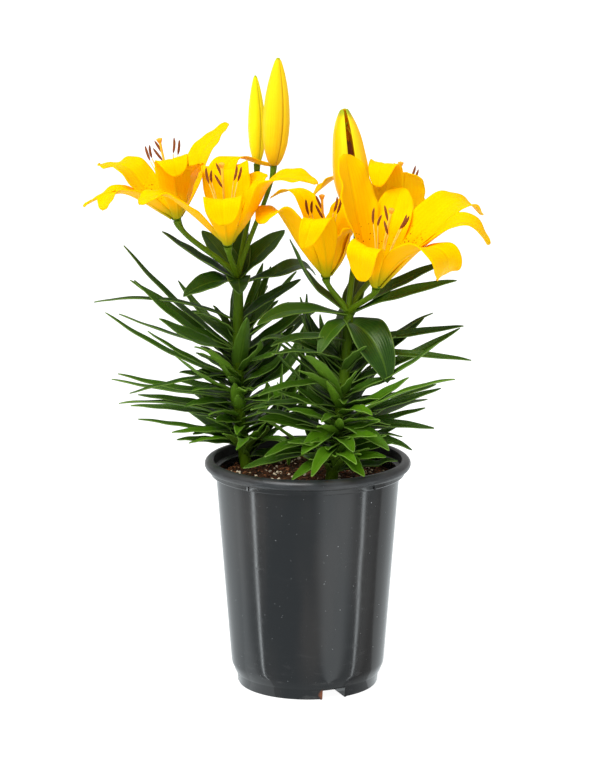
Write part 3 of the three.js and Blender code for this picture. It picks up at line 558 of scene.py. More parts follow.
def tepal_skin(name, inner):
    """Satin tepal: green at its claw, orange in its throat with some painted shade, golden yellow out to its
    tip.
    """
    made, tree, shader = finish_named(
        name, Roughness=0.6, Specular_IOR_Level=0.04, Specular_Tint=rgb(1.0, 0.8, 0.05))
    uv, across, along = blade_axes(tree)
    off = off_centre(tree, across)
    veins = fine_veins(tree, uv, across, 74.0, (2, 5, 1), 5.0, -0.4)
    midrib = span(tree, off, 0.13, 0.02)
    blush = noise_of(tree, scaled(tree, uv, (1.2, 3, 1)), 1.3)
    throat, rib, claw, claw_top = TEPAL_INSIDE if inner else TEPAL_OUTSIDE
    # Deeper orange towards the throat: the tepal's own colour, deepened as painted shade.
    body = blend(tree, span(tree, along, 0.15, 0.65), throat, rgb(1.0, 0.555, 0.0))
    body = blend(tree, times(tree, veins, 0.1), body, rgb(1.0, 0.32, 0.0))
    body = blend(tree, span(tree, blush, 0.42, 0.75, 0, 0.4), body, rgb(1.0, 0.44, 0.0))
    body = blend(tree, span(tree, off, 0.75, 1.0, 0, 0.4), body, rgb(1.0, 0.6, 0.0))
    body = blend(tree, times(tree, midrib, span(tree, along, 0.7, 0.15, 0.0, 0.5)), body, rib)
    body = blend(tree, span(tree, along, claw_top, 0.02, 0, 0.9), body, claw)
    if inner:
        body = freckled(tree, body, uv, along, off)
    ridge = midrib if inner else times(tree, midrib, -1.0)
    dress(tree, shader, body, minus(tree, times(tree, veins, 0.25), ridge), 0.0005, 0.35)
    let_light_in(shader, 0.2, (1.0, 0.45, 0.02), 0.003)
    return made


def freckled(tree, body, uv, along, off):
    """Dark red freckles in the throat of a tepal."""
    shift = node(tree, "ShaderNodeCombineXYZ", X=times(tree, tone_of(tree), 31.0)).outputs[0]
    where = scaled(tree, uv, (9, 34, 1))
    where = node(tree, "ShaderNodeVectorMath", {"operation": "ADD"}, _0=where, _1=shift).outputs[0]
    flat = {"voronoi_dimensions": "2D"}
    cells = node(tree, "ShaderNodeTexVoronoi", flat, Vector=where, Scale=1.0, Randomness=0.95)
    keep = node(tree, "ShaderNodeSeparateColor", Color=cells.outputs["Color"]).outputs[0]
    spot = span(tree, cells.outputs["Distance"], 0.22, 0.1)
    zone = times(tree, span(tree, along, 0.12, 0.22), span(tree, along, 0.5, 0.36))
    zone = times(tree, zone, span(tree, off, 0.85, 0.6))
    share = times(tree, times(tree, spot, zone), maths(tree, "GREATER_THAN", keep, 0.55))
    return blend(tree, times(tree, share, 0.9), body, rgb(0.14, 0.012, 0.002))


def bud_skin():
    """Bud skin: ribbed yellow, green at the tip and the base, with brownish seams."""
    made, tree, shader = finish_named(
        "bud_skin", Roughness=0.45, Specular_IOR_Level=0.15, Specular_Tint=rgb(1.0, 0.9, 0.3))
    uv, across, along = blade_axes(tree)
    tone = tone_of(tree)
    off = off_centre(tree, maths(tree, "FRACT", plus(tree, times(tree, across, 3.0), 0.5)))
    seam = span(tree, off, 0.9, 1.0)
    beside = times(tree, span(tree, off, 0.5, 0.85), span(tree, off, 0.98, 0.86))
    veins = noise_of(tree, uv, (60, 3, 1))
    ripe = blend(tree, tone, rgb(1.0, 0.66, 0.008), rgb(0.95, 0.82, 0.01))
    streak = blend(tree, tone, rgb(1.0, 0.5, 0.0), rgb(0.66, 0.74, 0.008))
    flank = blend(tree, tone, rgb(1.0, 0.6, 0.02), rgb(0.6, 0.66, 0.02))
    foot = blend(tree, tone, rgb(0.6, 0.36, 0.004), rgb(0.36, 0.46, 0.01))
    groove = blend(tree, tone, rgb(0.5, 0.17, 0.004), rgb(0.34, 0.26, 0.006))
    body = blend(tree, span(tree, veins, 0.35, 0.75, 0, 0.45), ripe, streak)
    body = blend(tree, times(tree, beside, 0.45), body, flank)
    body = blend(tree, span(tree, along, 0.3, 0.0, 0, 0.85), body, foot)
    body = blend(tree, span(tree, along, 0.9, 1.0, 0, 0.9), body, rgb(0.3, 0.42, 0.01))
    body = blend(tree, times(tree, seam, 0.7), body, groove)
    dress(tree, shader, body, veins, 0.0005, 0.3)
    let_light_in(shader, 0.15, (1.0, 0.6, 0.1), 0.003)
    return made


def opening_skin(name, inner):
    """Tepal of the opening bud: yellow with lime edges and a green tip, orange inside."""
    made, tree, shader = finish_named(
        name, Roughness=0.45, Specular_IOR_Level=0.25, Specular_Tint=rgb(1.0, 0.9, 0.3))
    uv, across, along = blade_axes(tree)
    off = off_centre(tree, across)
    veins = noise_of(tree, uv, (40, 3, 1))
    middle, edge, tip = OPENING_INSIDE if inner else OPENING_OUTSIDE
    body = blend(tree, span(tree, off, 0.1, 0.8), middle, edge)
    body = blend(tree, span(tree, veins, 0.35, 0.75, 0, 0.4), body, rgb(1.0, 0.46, 0.0))
    body = blend(tree, span(tree, along, 0.3, 0.0, 0, 0.8), body, rgb(0.5, 0.36, 0.005))
    body = blend(tree, span(tree, along, 0.88, 0.98, 0, tip), body, rgb(0.3, 0.42, 0.01))
    dress(tree, shader, body, veins, 0.0005, 0.4)
    let_light_in(shader, 0.15, (1.0, 0.55, 0.05), 0.003)
    return made


def place_axes(tree):
    """The place on the object, in metres."""
    return node(tree, "ShaderNodeTexCoord").outputs["Object"]


def pollen():
    """Rusty dusty anther."""
    made, tree, shader = finish_named("pollen", Roughness=0.85)
    where = place_axes(tree)
    grains = noise_of(tree, where, 2600.0, 3, 0.7)
    patches = noise_of(tree, where, 260.0, 2)
    body = blend(tree, span(tree, grains, 0.35, 0.7), rgb(0.11, 0.022, 0.002), rgb(0.42, 0.11, 0.007))
    body = blend(tree, span(tree, patches, 0.5, 0.75, 0, 0.5), body, rgb(0.36, 0.1, 0.012))
    dress(tree, shader, body, grains, 0.0005, 0.7)
    return made


def smooth_flesh(name, low, high):
    """Smooth moist flesh of filaments and pistils, mottled between two colours."""
    made, tree, shader = finish_named(name, Roughness=0.4, Specular_IOR_Level=0.3)
    mottle = noise_of(tree, place_axes(tree), 190.0)
    dress(tree, shader, blend(tree, span(tree, mottle, 0.35, 0.7), low, high), mottle, 0.0003, 0.3)
    return made


def bulb_flesh():
    """Matt cream bulb scales with brown flushes and fine lines."""
    made, tree, shader = finish_named("bulb_flesh", Roughness=0.6)
    where = place_axes(tree)
    lines = noise_of(tree, where, (420, 420, 40))
    flush = noise_of(tree, where, 60.0)
    body = blend(tree, span(tree, lines, 0.35, 0.7), rgb(0.74, 0.6, 0.36), rgb(0.86, 0.78, 0.56))
    body = blend(tree, span(tree, flush, 0.52, 0.75, 0, 0.6), body, rgb(0.42, 0.24, 0.1))
    dress(tree, shader, body, lines, 0.0006, 0.5)
    return made


# The rusty smear beside the notch at the front of the foot, in metres.
RUST_SPOT = (0.0125, -0.0575, 0.004)


def pot_plastic():
    """Moulded slate plastic: a soft gloss, faint marbling, dust specks, rubs at the foot, a painted
    sheen that makes the top of the rim paler and a rusty smear at one notch."""
    made, tree, shader = finish_named("pot_plastic", Specular_IOR_Level=0.42)
    where = place_axes(tree)
    height = node(tree, "ShaderNodeSeparateXYZ", Vector=where).outputs[2]
    marble = noise_of(tree, where, (26, 26, 5))
    specks = span(tree, noise_of(tree, where, 520.0, 2, 0.6), 0.735, 0.78, 0, 0.8)
    scuff = noise_of(tree, where, (60, 60, 220), 4, 0.6)
    rub = times(tree, span(tree, scuff, 0.55, 0.8), span(tree, height, 0.05, 0.0, 0.04, 0.45))
    # Painted sheen: the top of the rim painted paler and bluer, mottled, as if lit from above.
    painted_rim_sheen = times(tree, span(tree, scuff, 0.3, 0.7, 0.02, 0.2), span(tree, height, 0.176, 0.181))
    spot = node(tree, "ShaderNodeVectorMath", {"operation": "DISTANCE"}, _0=where, _1=RUST_SPOT).outputs[1]
    smear = span(tree, plus(tree, spot, times(tree, scuff, 0.006)), 0.0085, 0.006, 0, 0.85)
    body = blend(tree, span(tree, marble, 0.35, 0.7), rgb(0.0045, 0.006, 0.0075), rgb(0.018, 0.0165, 0.016))
    body = blend(tree, specks, body, rgb(0.4, 0.42, 0.43))
    body = blend(tree, rub, body, rgb(0.09, 0.09, 0.09))
    body = blend(tree, painted_rim_sheen, body, rgb(0.085, 0.1, 0.11))
    body = blend(tree, smear, body, rgb(0.2, 0.06, 0.02))
    satin = plus(tree, span(tree, scuff, 0.4, 0.8, 0.13, 0.2), span(tree, height, 0.174, 0.178, 0, 0.2))
    tree.links.new(plus(tree, times(tree, specks, 0.4), satin), shader.inputs["Roughness"])
    dress(tree, shader, body, noise_of(tree, where, (30, 30, 9), 2), 0.0009, 0.35)
    return made


def potting_mix():
    """Dark crumbly mix with red-brown bark dust and pale grit, darkened further as painted shade."""
    made, tree, shader = finish_named("potting_mix", Roughness=0.95, Specular_IOR_Level=0.2)
    where = place_axes(tree)
    crumbs = noise_of(tree, where, 420.0, 5, 0.65)
    patches = noise_of(tree, where, 90.0)
    cells = node(tree, "ShaderNodeTexVoronoi", Vector=where, Scale=300.0)
    keep = node(tree, "ShaderNodeSeparateColor", Color=cells.outputs["Color"]).outputs[0]
    kept = maths(tree, "GREATER_THAN", keep, 0.93)
    grit = times(tree, kept, span(tree, cells.outputs["Distance"], 0.5, 0.3))
    # Painted shade: both soil colours are darker than the mix itself, standing in for the shade of the
    # leaves above.
    body = blend(tree, span(tree, crumbs, 0.35, 0.65), rgb(0.004, 0.0025, 0.001), rgb(0.06, 0.024, 0.007))
    body = blend(tree, span(tree, patches, 0.5, 0.7, 0, 0.6), body, rgb(0.1, 0.024, 0.006))
    body = blend(tree, grit, body, rgb(0.5, 0.36, 0.2))
    dress(tree, shader, body, plus(tree, crumbs, times(tree, grit, 0.4)), 0.002, 0.9)
    return made


def grain(name, low, high, scale):
    """One kind of the litter on the soil, mottled between two colours."""
    made, tree, shader = finish_named(name, Roughness=0.9, Specular_IOR_Level=0.2)
    mottle = noise_of(tree, place_axes(tree), scale)
    dress(tree, shader, blend(tree, span(tree, mottle, 0.35, 0.68), low, high), mottle, 0.0008, 0.6)
    return made


def white_floor():
    """A lit white table top."""
    return finish_named(
        "white_floor", Base_Color=rgb(0.25, 0.25, 0.25), Roughness=0.9, Specular_IOR_Level=0.0,
        Emission_Color=rgb(1, 1, 1), Emission_Strength=0.95)[0]


def seen_in_wall(tree, where, turn):
    """The angle on the table between a point and what the pot's wall mirrors at this turn from
    its front, growing outwards, and whether the point lies ahead of the wall."""
    wall = math.radians(turn)
    start = (-math.sin(wall) * MIRROR_RADIUS, -math.cos(wall) * MIRROR_RADIUS, 0)
    way = (0, 0, math.atan2(-math.cos(2 * wall), -math.sin(2 * wall)))
    inverse = {"vector_type": "TEXTURE"}
    axes = node(tree, "ShaderNodeMapping", inverse, Vector=where, Location=start, Rotation=way)
    parts = node(tree, "ShaderNodeSeparateXYZ", Vector=axes.outputs[0])
    angle = maths(tree, "ARCTAN2", parts.outputs[1], parts.outputs[0])
    angle = times(tree, angle, -1.0 if turn > 0 else 1.0)
    return angle, maths(tree, "GREATER_THAN", parts.outputs[0], 0.0)


def studio_card():
    """The light and dark parts of the studio that the pot's gloss mirrors: a lighter part in
    front and, on either side, a slim bright line with the side beyond it."""
    made = bpy.data.materials.new("studio_card")
    made.use_nodes = True
    tree = made.node_tree
    tree.nodes.clear()
    where = place_axes(tree)
    turn, spread, strength = STUDIO_FRONT
    angle, ahead = seen_in_wall(tree, where, turn)
    near = times(tree, span(tree, angle, -spread, 0.4 - spread), span(tree, angle, spread, spread - 0.4))
    glow = plus(tree, STUDIO_GROUND, times(tree, times(tree, near, ahead), strength))
    sway = times(tree, minus(tree, noise_of(tree, where, (9, 9, 1), 2), 0.5), 0.09)
    for turn, side, line in STUDIO_LINES:
        angle, ahead = seen_in_wall(tree, where, turn)
        angle = plus(tree, angle, sway)
        slim = times(tree, span(tree, angle, -0.03, 0.01), span(tree, angle, 0.11, 0.02))
        wide = times(tree, span(tree, angle, 0.25, 0.6), span(tree, angle, 0.6, 1.3, 1.0, 0.5))
        wide = plus(tree, wide, span(tree, angle, 0.0, 0.12, 0.0, 0.25))
        glow = plus(tree, glow, times(tree, times(tree, slim, ahead), line))
        glow = plus(tree, glow, times(tree, wide, side))
    shine = node(tree, "ShaderNodeEmission", Color=rgb(0.91, 0.975, 1.0), Strength=glow)
    end = node(tree, "ShaderNodeOutputMaterial")
    tree.links.new(shine.outputs[0], end.inputs[0])
    return made


# Mesh building


class Build:
    """One piece's mesh while it is made, with a map across and along each blade and its tone."""

    def __init__(self):
        self.mesh = bmesh.new()
        self.mesh.loops.layers.uv.new("blade")
        self.tone = self.mesh.verts.layers.float.new("tone")

    def skin(self, columns, rows, place, tone=0.5, slot=0, closed=False):
        """A grid of columns and rows whose points place(u, v) puts, u and v from 0 to 1."""
        old = set(self.mesh.faces)
        made = bmesh.ops.create_grid(
            self.mesh, x_segments=columns, y_segments=rows, size=0.5, calc_uvs=True)["verts"]
        for face in self.mesh.faces:
            if face not in old:
                face.material_index = slot
                face.smooth = True
        for vert in made:
            u, v = vert.co.x + 0.5, vert.co.y + 0.5
            vert[self.tone] = tone
            vert.co = Vector(place(min(1, max(0, u)), min(1, max(0, v)))) * MM
        if closed:
            bmesh.ops.remove_doubles(self.mesh, verts=made, dist=1e-6)

    def tube(self, centres, radii, sides, tone=0.5, slot=0, lobes=0.0):
        """A round skin along centre points, with three lobes where lobes isn't 0."""
        rings = len(centres)
        frames = []
        for i, centre in enumerate(centres):
            along = (centres[min(rings - 1, i + 1)] - centres[max(0, i - 1)]).normalized()
            across = (Vector((0, 1, 0)) - along * along.y).normalized()
            frames.append((centre, across, along.cross(across), radii[i]))

        def place(u, v):
            centre, across, third, radius = frames[round(v * (rings - 1))]
            turn = 2 * math.pi * u
            radius *= 1 + lobes * math.cos(3 * turn)
            return centre + across * (radius * math.cos(turn)) + third * (radius * math.sin(turn))

        self.skin(sides, rings - 1, place, tone, slot, closed=True)

    def to_mesh(self, name):
        mesh = bpy.data.meshes.new(name)
        self.mesh.to_mesh(mesh)
        self.mesh.free()
        return mesh

    def piece(self, name, finishes, slot, *replaced):
        return placed(name, self.to_mesh(name), finishes, slot, *replaced)


def placed(name, mesh, finishes, slot, *replaced):
    """The finished object of a mesh, riding on the root and standing for its nodes."""
    piece = bpy.data.objects.new(name, mesh)
    bpy.context.scene.collection.objects.link(piece)
    for finish in finishes:
        mesh.materials.append(finish)
    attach(piece, "root")
    if replaced:
        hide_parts(*replaced)
    return piece


def thicken_blades(piece):
    """Gives the blades of a piece their thickness, with the finish of their backs from the next
    slot, and leaves its round stalks as they are."""
    group = piece.vertex_groups.new(name="blades")
    blades = {v for face in piece.data.polygons if face.material_index < 2 for v in face.vertices}
    group.add(list(blades), 1.0, "REPLACE")
    shell = piece.modifiers.new("thickness", "SOLIDIFY")
    shell.thickness = BLADE_THICKNESS * MM
    shell.offset = 0
    shell.material_offset = 1
    shell.material_offset_rim = 0
    shell.vertex_group = "blades"


# Leaves


def leaf_floor(x, y):
    """What a leaf keeps above: the soil in the middle and the rim further out."""
    return mix(SOIL_LEVEL + 4, POT_HEIGHT + 3, smooth((math.hypot(x, y) - 52) / 20))


def lifted(point, i):
    """A point of a leaf's line, raised clear of the soil and the rim."""
    low = leaf_floor(point.x, point.y)
    lift = 4 * smooth(i / 4)
    if point.z >= low + lift:
        return point
    return Vector((point.x, point.y, low + lift * lift / (2 * lift + low - point.z + 1e-9)))


def leaf_line(leaf):
    """A leaf's middle line, which keeps to its plant's side of the plane between the stems."""
    at = Vector(leaf["root"])
    points = [at]
    normal = Vector((*MIDDLE_NORMAL, 0)) * leaf["side"]
    azimuth = math.radians(leaf["azimuth"])
    for i in range(LEAF_STEPS):
        rise = math.radians(leaf["rise"] - leaf["droop"] * (i + 0.5) / LEAF_STEPS)
        way = around(math.cos(rise), azimuth, math.sin(rise))
        off = (at.x - MIDDLE_POINT[0]) * normal.x + (at.y - MIDDLE_POINT[1]) * normal.y
        near = 1 - smooth((-off - MIDDLE_CLEARANCE) / MIDDLE_REACH)
        way -= normal * (max(0, way.dot(normal)) * near)
        at = at + way.normalized() * (leaf["length"] / LEAF_STEPS)
        points.append(at)
    return [lifted(point, i) for i, point in enumerate(points)]


def leaf_half(leaf, s):
    """Half a leaf's width at a share of its length."""
    swell = mix(0.36, 1, math.sin(min(1, s / 0.4) * math.pi / 2))
    return 0.5 * leaf["width"] * swell * (1 - min(1, s) ** 2.4) ** 0.8 + 0.3 * s


def leaf_place(leaf):
    """The function from across and along shares to a point of the leaf."""
    line = leaf_line(leaf)
    ends = [line[0]] + line + [line[-1]]

    def centre(s):
        i = min(LEAF_STEPS - 1, int(s * LEAF_STEPS))
        return line[i].lerp(line[i + 1], s * LEAF_STEPS - i)

    def heading(s):
        i = min(LEAF_STEPS - 1, int(s * LEAF_STEPS))
        before = (ends[i + 2] - ends[i]).normalized()
        after = (ends[i + 3 if i + 3 < len(ends) else i + 2] - ends[i + 1]).normalized()
        return before.lerp(after, s * LEAF_STEPS - i).normalized()

    def place(u, s):
        v = 2 * u - 1
        along = heading(s)
        flat = math.hypot(along.x, along.y)
        azimuth = math.atan2(along.y, along.x) if flat > 0.2 else math.radians(leaf["azimuth"])
        across = Vector((-math.sin(azimuth), math.cos(azimuth), 0))
        across = (across - along * across.dot(along)).normalized()
        upward = along.cross(across)
        twist = leaf["roll"] + LEAF_TWIST * math.cos(math.radians(leaf["azimuth"]))
        roll = math.radians(twist) * smooth(s / 0.7)
        side = across * math.cos(roll) + upward * math.sin(roll)
        face = upward * math.cos(roll) - across * math.sin(roll)
        half = leaf_half(leaf, s)
        fold = abs(v) ** 1.3 * half * 0.34
        ripple = 0.35 * v * v * math.sin(s * 22 + leaf["azimuth"])
        return centre(s) + side * (v * half * 0.94) + face * (fold + ripple)

    return place


def spiral_leaf(stem, k, share, draw):
    """A leaf of the spiral that climbs a stem: shorter towards the other plant, and high in front."""
    azimuth = k * SPIRAL["turn"] + (draw() - 0.5) * SPIRAL["sway"]
    rise = mix(*SPIRAL["rise"], share) + (draw() - 0.5) * SPIRAL["sway"]
    droop = mix(*SPIRAL["droop"], draw())
    full = mix(*SPIRAL["length"], max(0, share - 0.8) / 0.2)
    length = mix(stem["base"][0], full, smooth(share / 0.4)) * mix(*SPIRAL["length_spread"], draw())
    width = mix(stem["base"][1], SPIRAL["width"], smooth(share / 0.3)) * mix(*SPIRAL["width_spread"], draw())
    turn = math.radians(azimuth)
    facing = (math.cos(turn) * MIDDLE_NORMAL[0] + math.sin(turn) * MIDDLE_NORMAL[1]) * stem["side"]
    front = smooth((share - 0.6) / 0.3) * max(0, -math.sin(turn))
    shade = 1 - SPIRAL["shaded"] * max(0, facing) - SPIRAL["short"] * front
    roll = (draw() - 0.5) * SPIRAL["roll"]
    root = bezier(stem["curve"], SPIRAL["foot"] + SPIRAL["climb"] * share**1.15)
    return leaf_of(stem, root, azimuth, rise, droop, length * shade, width, roll)


def inner_leaf(stem, k, share, draw):
    """A small leaf close to a stem, longer towards the middle of the foliage."""
    root = bezier(stem["curve"], INNER["foot"] + INNER["climb"] * share)
    rise = mix(*INNER["rise"], smooth(share / 0.2)) + INNER["lift"] * smooth((share - 0.3) / 0.7)
    rise += INNER["nod"] * (draw() - 0.5)
    length = mix(*INNER["length"], draw()) * mix(0.7, 1, smooth(share / 0.25)) * (1 - 0.25 * share)
    azimuth = k * INNER["turn"] + INNER["sway"] * draw()
    droop = INNER["droop"] * draw()
    width = mix(*INNER["width"], draw())
    roll = INNER["roll"] * (draw() - 0.5)
    length *= mix(1, 1.6, max(0, math.cos(math.radians(azimuth - stem["middle"]))))
    return leaf_of(stem, root, azimuth, rise, droop, length, width, roll)


def leaf_of(stem, root, azimuth, rise, droop, length, width, roll):
    """One leaf of a stem, as named values."""
    return {
        "root": root,
        "azimuth": azimuth,
        "rise": rise,
        "droop": droop,
        "length": length,
        "width": width,
        "roll": roll,
        "side": stem["side"],
    }


def leaves_of(name):
    """The leaves of one stem: the spiral, those placed one by one, and small ones close in, which
    leave the upper front bare."""
    stem = STEMS[name]
    draw = dice(stem["seed"])
    leaves = [spiral_leaf(stem, k, (k + 0.5) / stem["leaves"], draw) for k in range(stem["leaves"])]
    for below, *rest in PLACED_LEAVES[name]:
        leaves.append(leaf_of(stem, bezier(stem["curve"], 1 - below / STEM_RISE), *rest))
    for k in range(INNER["count"]):
        share = (k + 0.5) / INNER["count"]
        leaf = inner_leaf(stem, k, share, draw)
        if share <= INNER["bare_above"] or math.sin(math.radians(leaf["azimuth"])) >= INNER["bare_front"]:
            leaves.append(leaf)
    return leaves


def axis_of(lean):
    """The way up of a bloom or a bud that leans to the right and to the back by these degrees."""
    return Vector((math.tan(math.radians(lean[0])), math.tan(math.radians(lean[1])), 1)).normalized()


def pedicel(build, name, base, lean, girth):
    """The stalk from near the stem's top to the foot of a bloom or a bud."""
    axis = axis_of(lean)
    end = Vector(base) - axis * GAP
    start = bezier(STEMS[name]["curve"], 0.98)
    reach = (end - start).length
    guide = (start + Vector((0, 0, reach * 0.16))).lerp(end, 0.2)
    curve = (start, guide, end - axis * (reach * 0.24), end)
    root, middle, top = (radius * girth for radius in PEDICEL_RADIUS)

    def radius_at(share):
        if share < 0.8:
            return mix(root, middle, share / 0.8)
        return mix(middle, top, smooth((share - 0.8) / 0.2))

    steps = shares(24)
    centres = [bezier(curve, share) for share in steps]
    build.tube(centres, [radius_at(share) for share in steps], 16, tone=0.85, slot=2)


def youth_and_painted_light(leaf, draw):
    """How light a leaf is: the low leaves that face the front are the youngest and get painted light."""
    low = smooth((LIGHTER_BELOW - leaf["root"].z) / 60)
    front = max(0, -math.sin(math.radians(leaf["azimuth"])))
    return min(1, mix(0.45, 1, draw()) * low * front + mix(0, 0.4, draw() ** 1.5))


def leafy_stem(name, finishes):
    """A stem with its leaves and the stalks of the blooms and buds that it carries."""
    stem = STEMS[name]
    build = Build()
    draw = dice(stem["seed"] + 500)
    for leaf in leaves_of(name):
        build.skin(*LEAF_GRID, leaf_place(leaf), youth_and_painted_light(leaf, draw))
    foot = Vector(stem["curve"][0])
    base = Vector(stem["bulb"])
    neck = base + (foot - base).normalized() * (BULB_HEIGHT + GAP)
    steps = shares(30)
    centres = [neck] + [bezier(stem["curve"], share) for share in steps]
    radii = [STEM_RADIUS[0]] + [mix(*STEM_RADIUS, share) for share in steps]
    build.tube(centres, radii, 20, slot=2)
    heads = [(1, head) for head in (*BLOOMS.values(), OPENING_BUD)]
    heads += [(BUD_STALK, head) for head in BUDS.values()]
    for girth, (owner, base, lean, *_) in heads:
        if owner == name:
            pedicel(build, name, base, lean, girth)
    piece = build.piece("leaves_and_stem_" + name, finishes, "foliage", "leafy_stem_" + name)
    thicken_blades(piece)


# Blooms


def head_matrix(base, lean):
    """Places a bloom or a bud on its base, with its front kept to the front."""
    up = axis_of(lean)
    right = (Vector((1, 0, 0)) - up * up.x).normalized()
    back = up.cross(right)
    turn = Matrix((right, back, up)).transposed()
    return Matrix.Translation(Vector(base)) @ turn.to_4x4()


def tepal_line(tepal):
    """A tepal's middle line: how far out and up, and its slant, at each step."""
    line = []
    out, high = tepal["start"], tepal["low"]
    for s in shares(TEPAL_STEPS):
        flare = tepal["flare"] * smooth((s - 0.1) / 0.5)
        curl = tepal["curl"] * smooth((s - tepal["bend"] + 0.16) / 0.32)
        angle = math.radians(tepal["cup"] + flare + curl)
        line.append((out, high, angle))
        out += math.sin(angle) * tepal["length"] / TEPAL_STEPS
        high += math.cos(angle) * tepal["length"] / TEPAL_STEPS
    return line


def tepal_half(tepal, s, out):
    """Half a tepal's width at a share of its length, kept slim where it is close to the axis."""
    broad = 0.5 * tepal["width"] * mix(0.3, 1, smooth(s / 0.5)) * (1 - s**3.5) ** 0.6 + 0.8 * s
    share = max(1.5, tepal["claw"] * out)
    return broad * share / (broad**4 + share**4) ** 0.25


def tepal_place(tepal, matrix):
    """The function from across and along shares to a point of the tepal."""
    line = tepal_line(tepal)

    def place(u, s):
        v = 2 * u - 1
        ahead = TEPAL_STEPS * s * (1 + TEPAL_ARCH * v * v * (1 - s))
        i = min(TEPAL_STEPS - 1, int(ahead))
        out, high, angle = (mix(a, b, ahead - i) for a, b in zip(line[i], line[i + 1]))
        arc = v * tepal_half(tepal, s, out)
        bend = mix(1 / max(out, 2), tepal["channel"], smooth((s - 0.1) / 0.6))
        turn = arc * bend
        sideways = math.sin(turn) / bend if abs(turn) > 1e-6 else arc
        inward = (1 - math.cos(turn)) / bend if abs(turn) > 1e-6 else 0
        ruffle = smooth((s - 0.2) / 0.5)
        wave = tepal["wave"] * v * v * math.sin(s * 15 + tepal["phase"] + v) * ruffle
        wave += 0.5 * tepal["wave"] * v**4 * math.sin(s * 34 + 3 * tepal["phase"] + 2 * v) * ruffle
        groove = -0.7 * math.exp(-((v / 0.12) ** 2)) * smooth(s / 0.2) * smooth((1 - s) / 0.3)
        azimuth = math.radians(tepal["azimuth"] + tepal["sweep"] * s * s)
        radial = around(1, azimuth)
        tangent = Vector((-math.sin(azimuth), math.cos(azimuth), 0))
        face = Vector((0, 0, math.sin(angle))) - radial * math.cos(angle)
        normal = face * math.cos(turn) - tangent * math.sin(turn)
        point = radial * out + Vector((0, 0, high)) + tangent * sideways + face * inward
        return matrix @ (point + normal * (wave + groove))

    return place


def tepals_of(cup, rows):
    """The tepals of a bloom from its rows."""
    return [
        {
            **dict(zip(TEPAL_ROW, row)),
            "cup": cup,
            "claw": TEPAL_CLAW[k % 2],
            "start": TEPAL_START[k % 2],
            "low": TEPAL_LOW[k % 2],
            "channel": 1 / 60,
            "wave": TEPAL_WAVE[k % 2],
            "phase": 1.7 * k,
        }
        for k, row in enumerate(rows)
    ]


def receptacle(build, matrix):
    """The small cup where the stalk widens into the flower."""
    profile = [(0, 0), (2.4, 0.05), (3.5, 0.4), (4.1, 1.6), (4.1, 2.6), (3.5, 3.6), (2.4, 4), (0, 4)]

    def place(u, v):
        radius, height = profile[round(v * (len(profile) - 1))]
        return matrix @ around(radius, 2 * math.pi * u, height)

    build.skin(18, len(profile) - 1, place, 0.8, 2, closed=True)


def tepal_ring(name, tepals, matrix, finishes, slot):
    """The tepals of a bloom or of the opening bud, on their receptacle."""
    build = Build()
    for k, tepal in enumerate(tepals):
        build.skin(TEPAL_COLUMNS, TEPAL_STEPS, tepal_place(tepal, matrix), (k * 0.37 + 0.1) % 1)
    receptacle(build, matrix)
    thicken_blades(build.piece(name + "_petals", finishes, slot, name + "_tepals"))


def stamen(build, matrix, k, draw):
    """A filament that leans outwards and the anther that stands on its tip."""
    low = RECEPTACLE_HEIGHT + GAP + 0.6
    outward = around(1, math.radians(k * 60 + 30))
    reach, rise = FILAMENT_REACH[k % 2], FILAMENT_RISE[k % 2]
    steps = 10
    line = []
    for i in range(steps + 1):
        out = outward * (2.7 + reach * (i / steps) ** 1.6)
        line.append(out + Vector((0, 0, low + rise * i / steps)))
    radii = [mix(*FILAMENT_RADIUS, share) for share in shares(steps)]
    build.tube([matrix @ p for p in line], radii, 8, slot=1)
    sway = Vector((-outward.y, outward.x, 0)) * ANTHER_SWAYS[k]
    along = (outward * 0.2 + sway + Vector((0, 0, 1))).normalized()
    start = line[-1] + along * (0.02 * ANTHER_LENGTH)
    bow = mix(0.3, 1.0, draw())
    last = len(ANTHER_RADII) - 1
    centres = []
    for i in range(last + 1):
        bowed = outward * (bow * math.sin(math.pi * i / last))
        centres.append(matrix @ (start + along * (ANTHER_LENGTH * i / last) + bowed))
    build.tube(centres, ANTHER_RADII, 10, tone=draw(), lobes=0.12)


def stamens(name, matrix, finishes):
    """A bloom's six stamens."""
    build = Build()
    draw = dice(len(name) * 7)
    for k in range(6):
        stamen(build, matrix, k, draw)
    build.piece(name + "_anthers", finishes, "stamens", name + "_stamens")


def pistil(name, matrix, finishes):
    """Ovary of three lobes, a style that swells upwards, and a stigma of three lobes."""
    build = Build()
    low = RECEPTACLE_HEIGHT + GAP
    top = PISTIL_LENGTH
    ovary = [(0, 0.4), (1, 1.5), (4, 1.85), (9, 1.9), (13, 1.75), (14.6, 1.2), (16, 0.95)]
    style = [(15, 0.9), (24, 0.9), (36, 0.9), (46, 0.95), (54, 1.0), (58, 1.15)]
    stigma = [(57.4, 0.9), (58.6, 1.4), (59.8, 1.9), (60.8, 2.2), (61.6, 2.1), (top, 1.4), (top - 0.4, 0.2)]
    for profile, sides, slot, lobes in ((ovary, 18, 1, 0.1), (style, 12, 0, 0.0), (stigma, 24, 2, 0.2)):
        centres = [matrix @ Vector((0, 0, low + height)) for height, _ in profile]
        build.tube(centres, [radius for _, radius in profile], sides, slot=slot, lobes=lobes)
    build.piece(name + "_style", finishes, "pistil", name + "_pistil")


# Buds


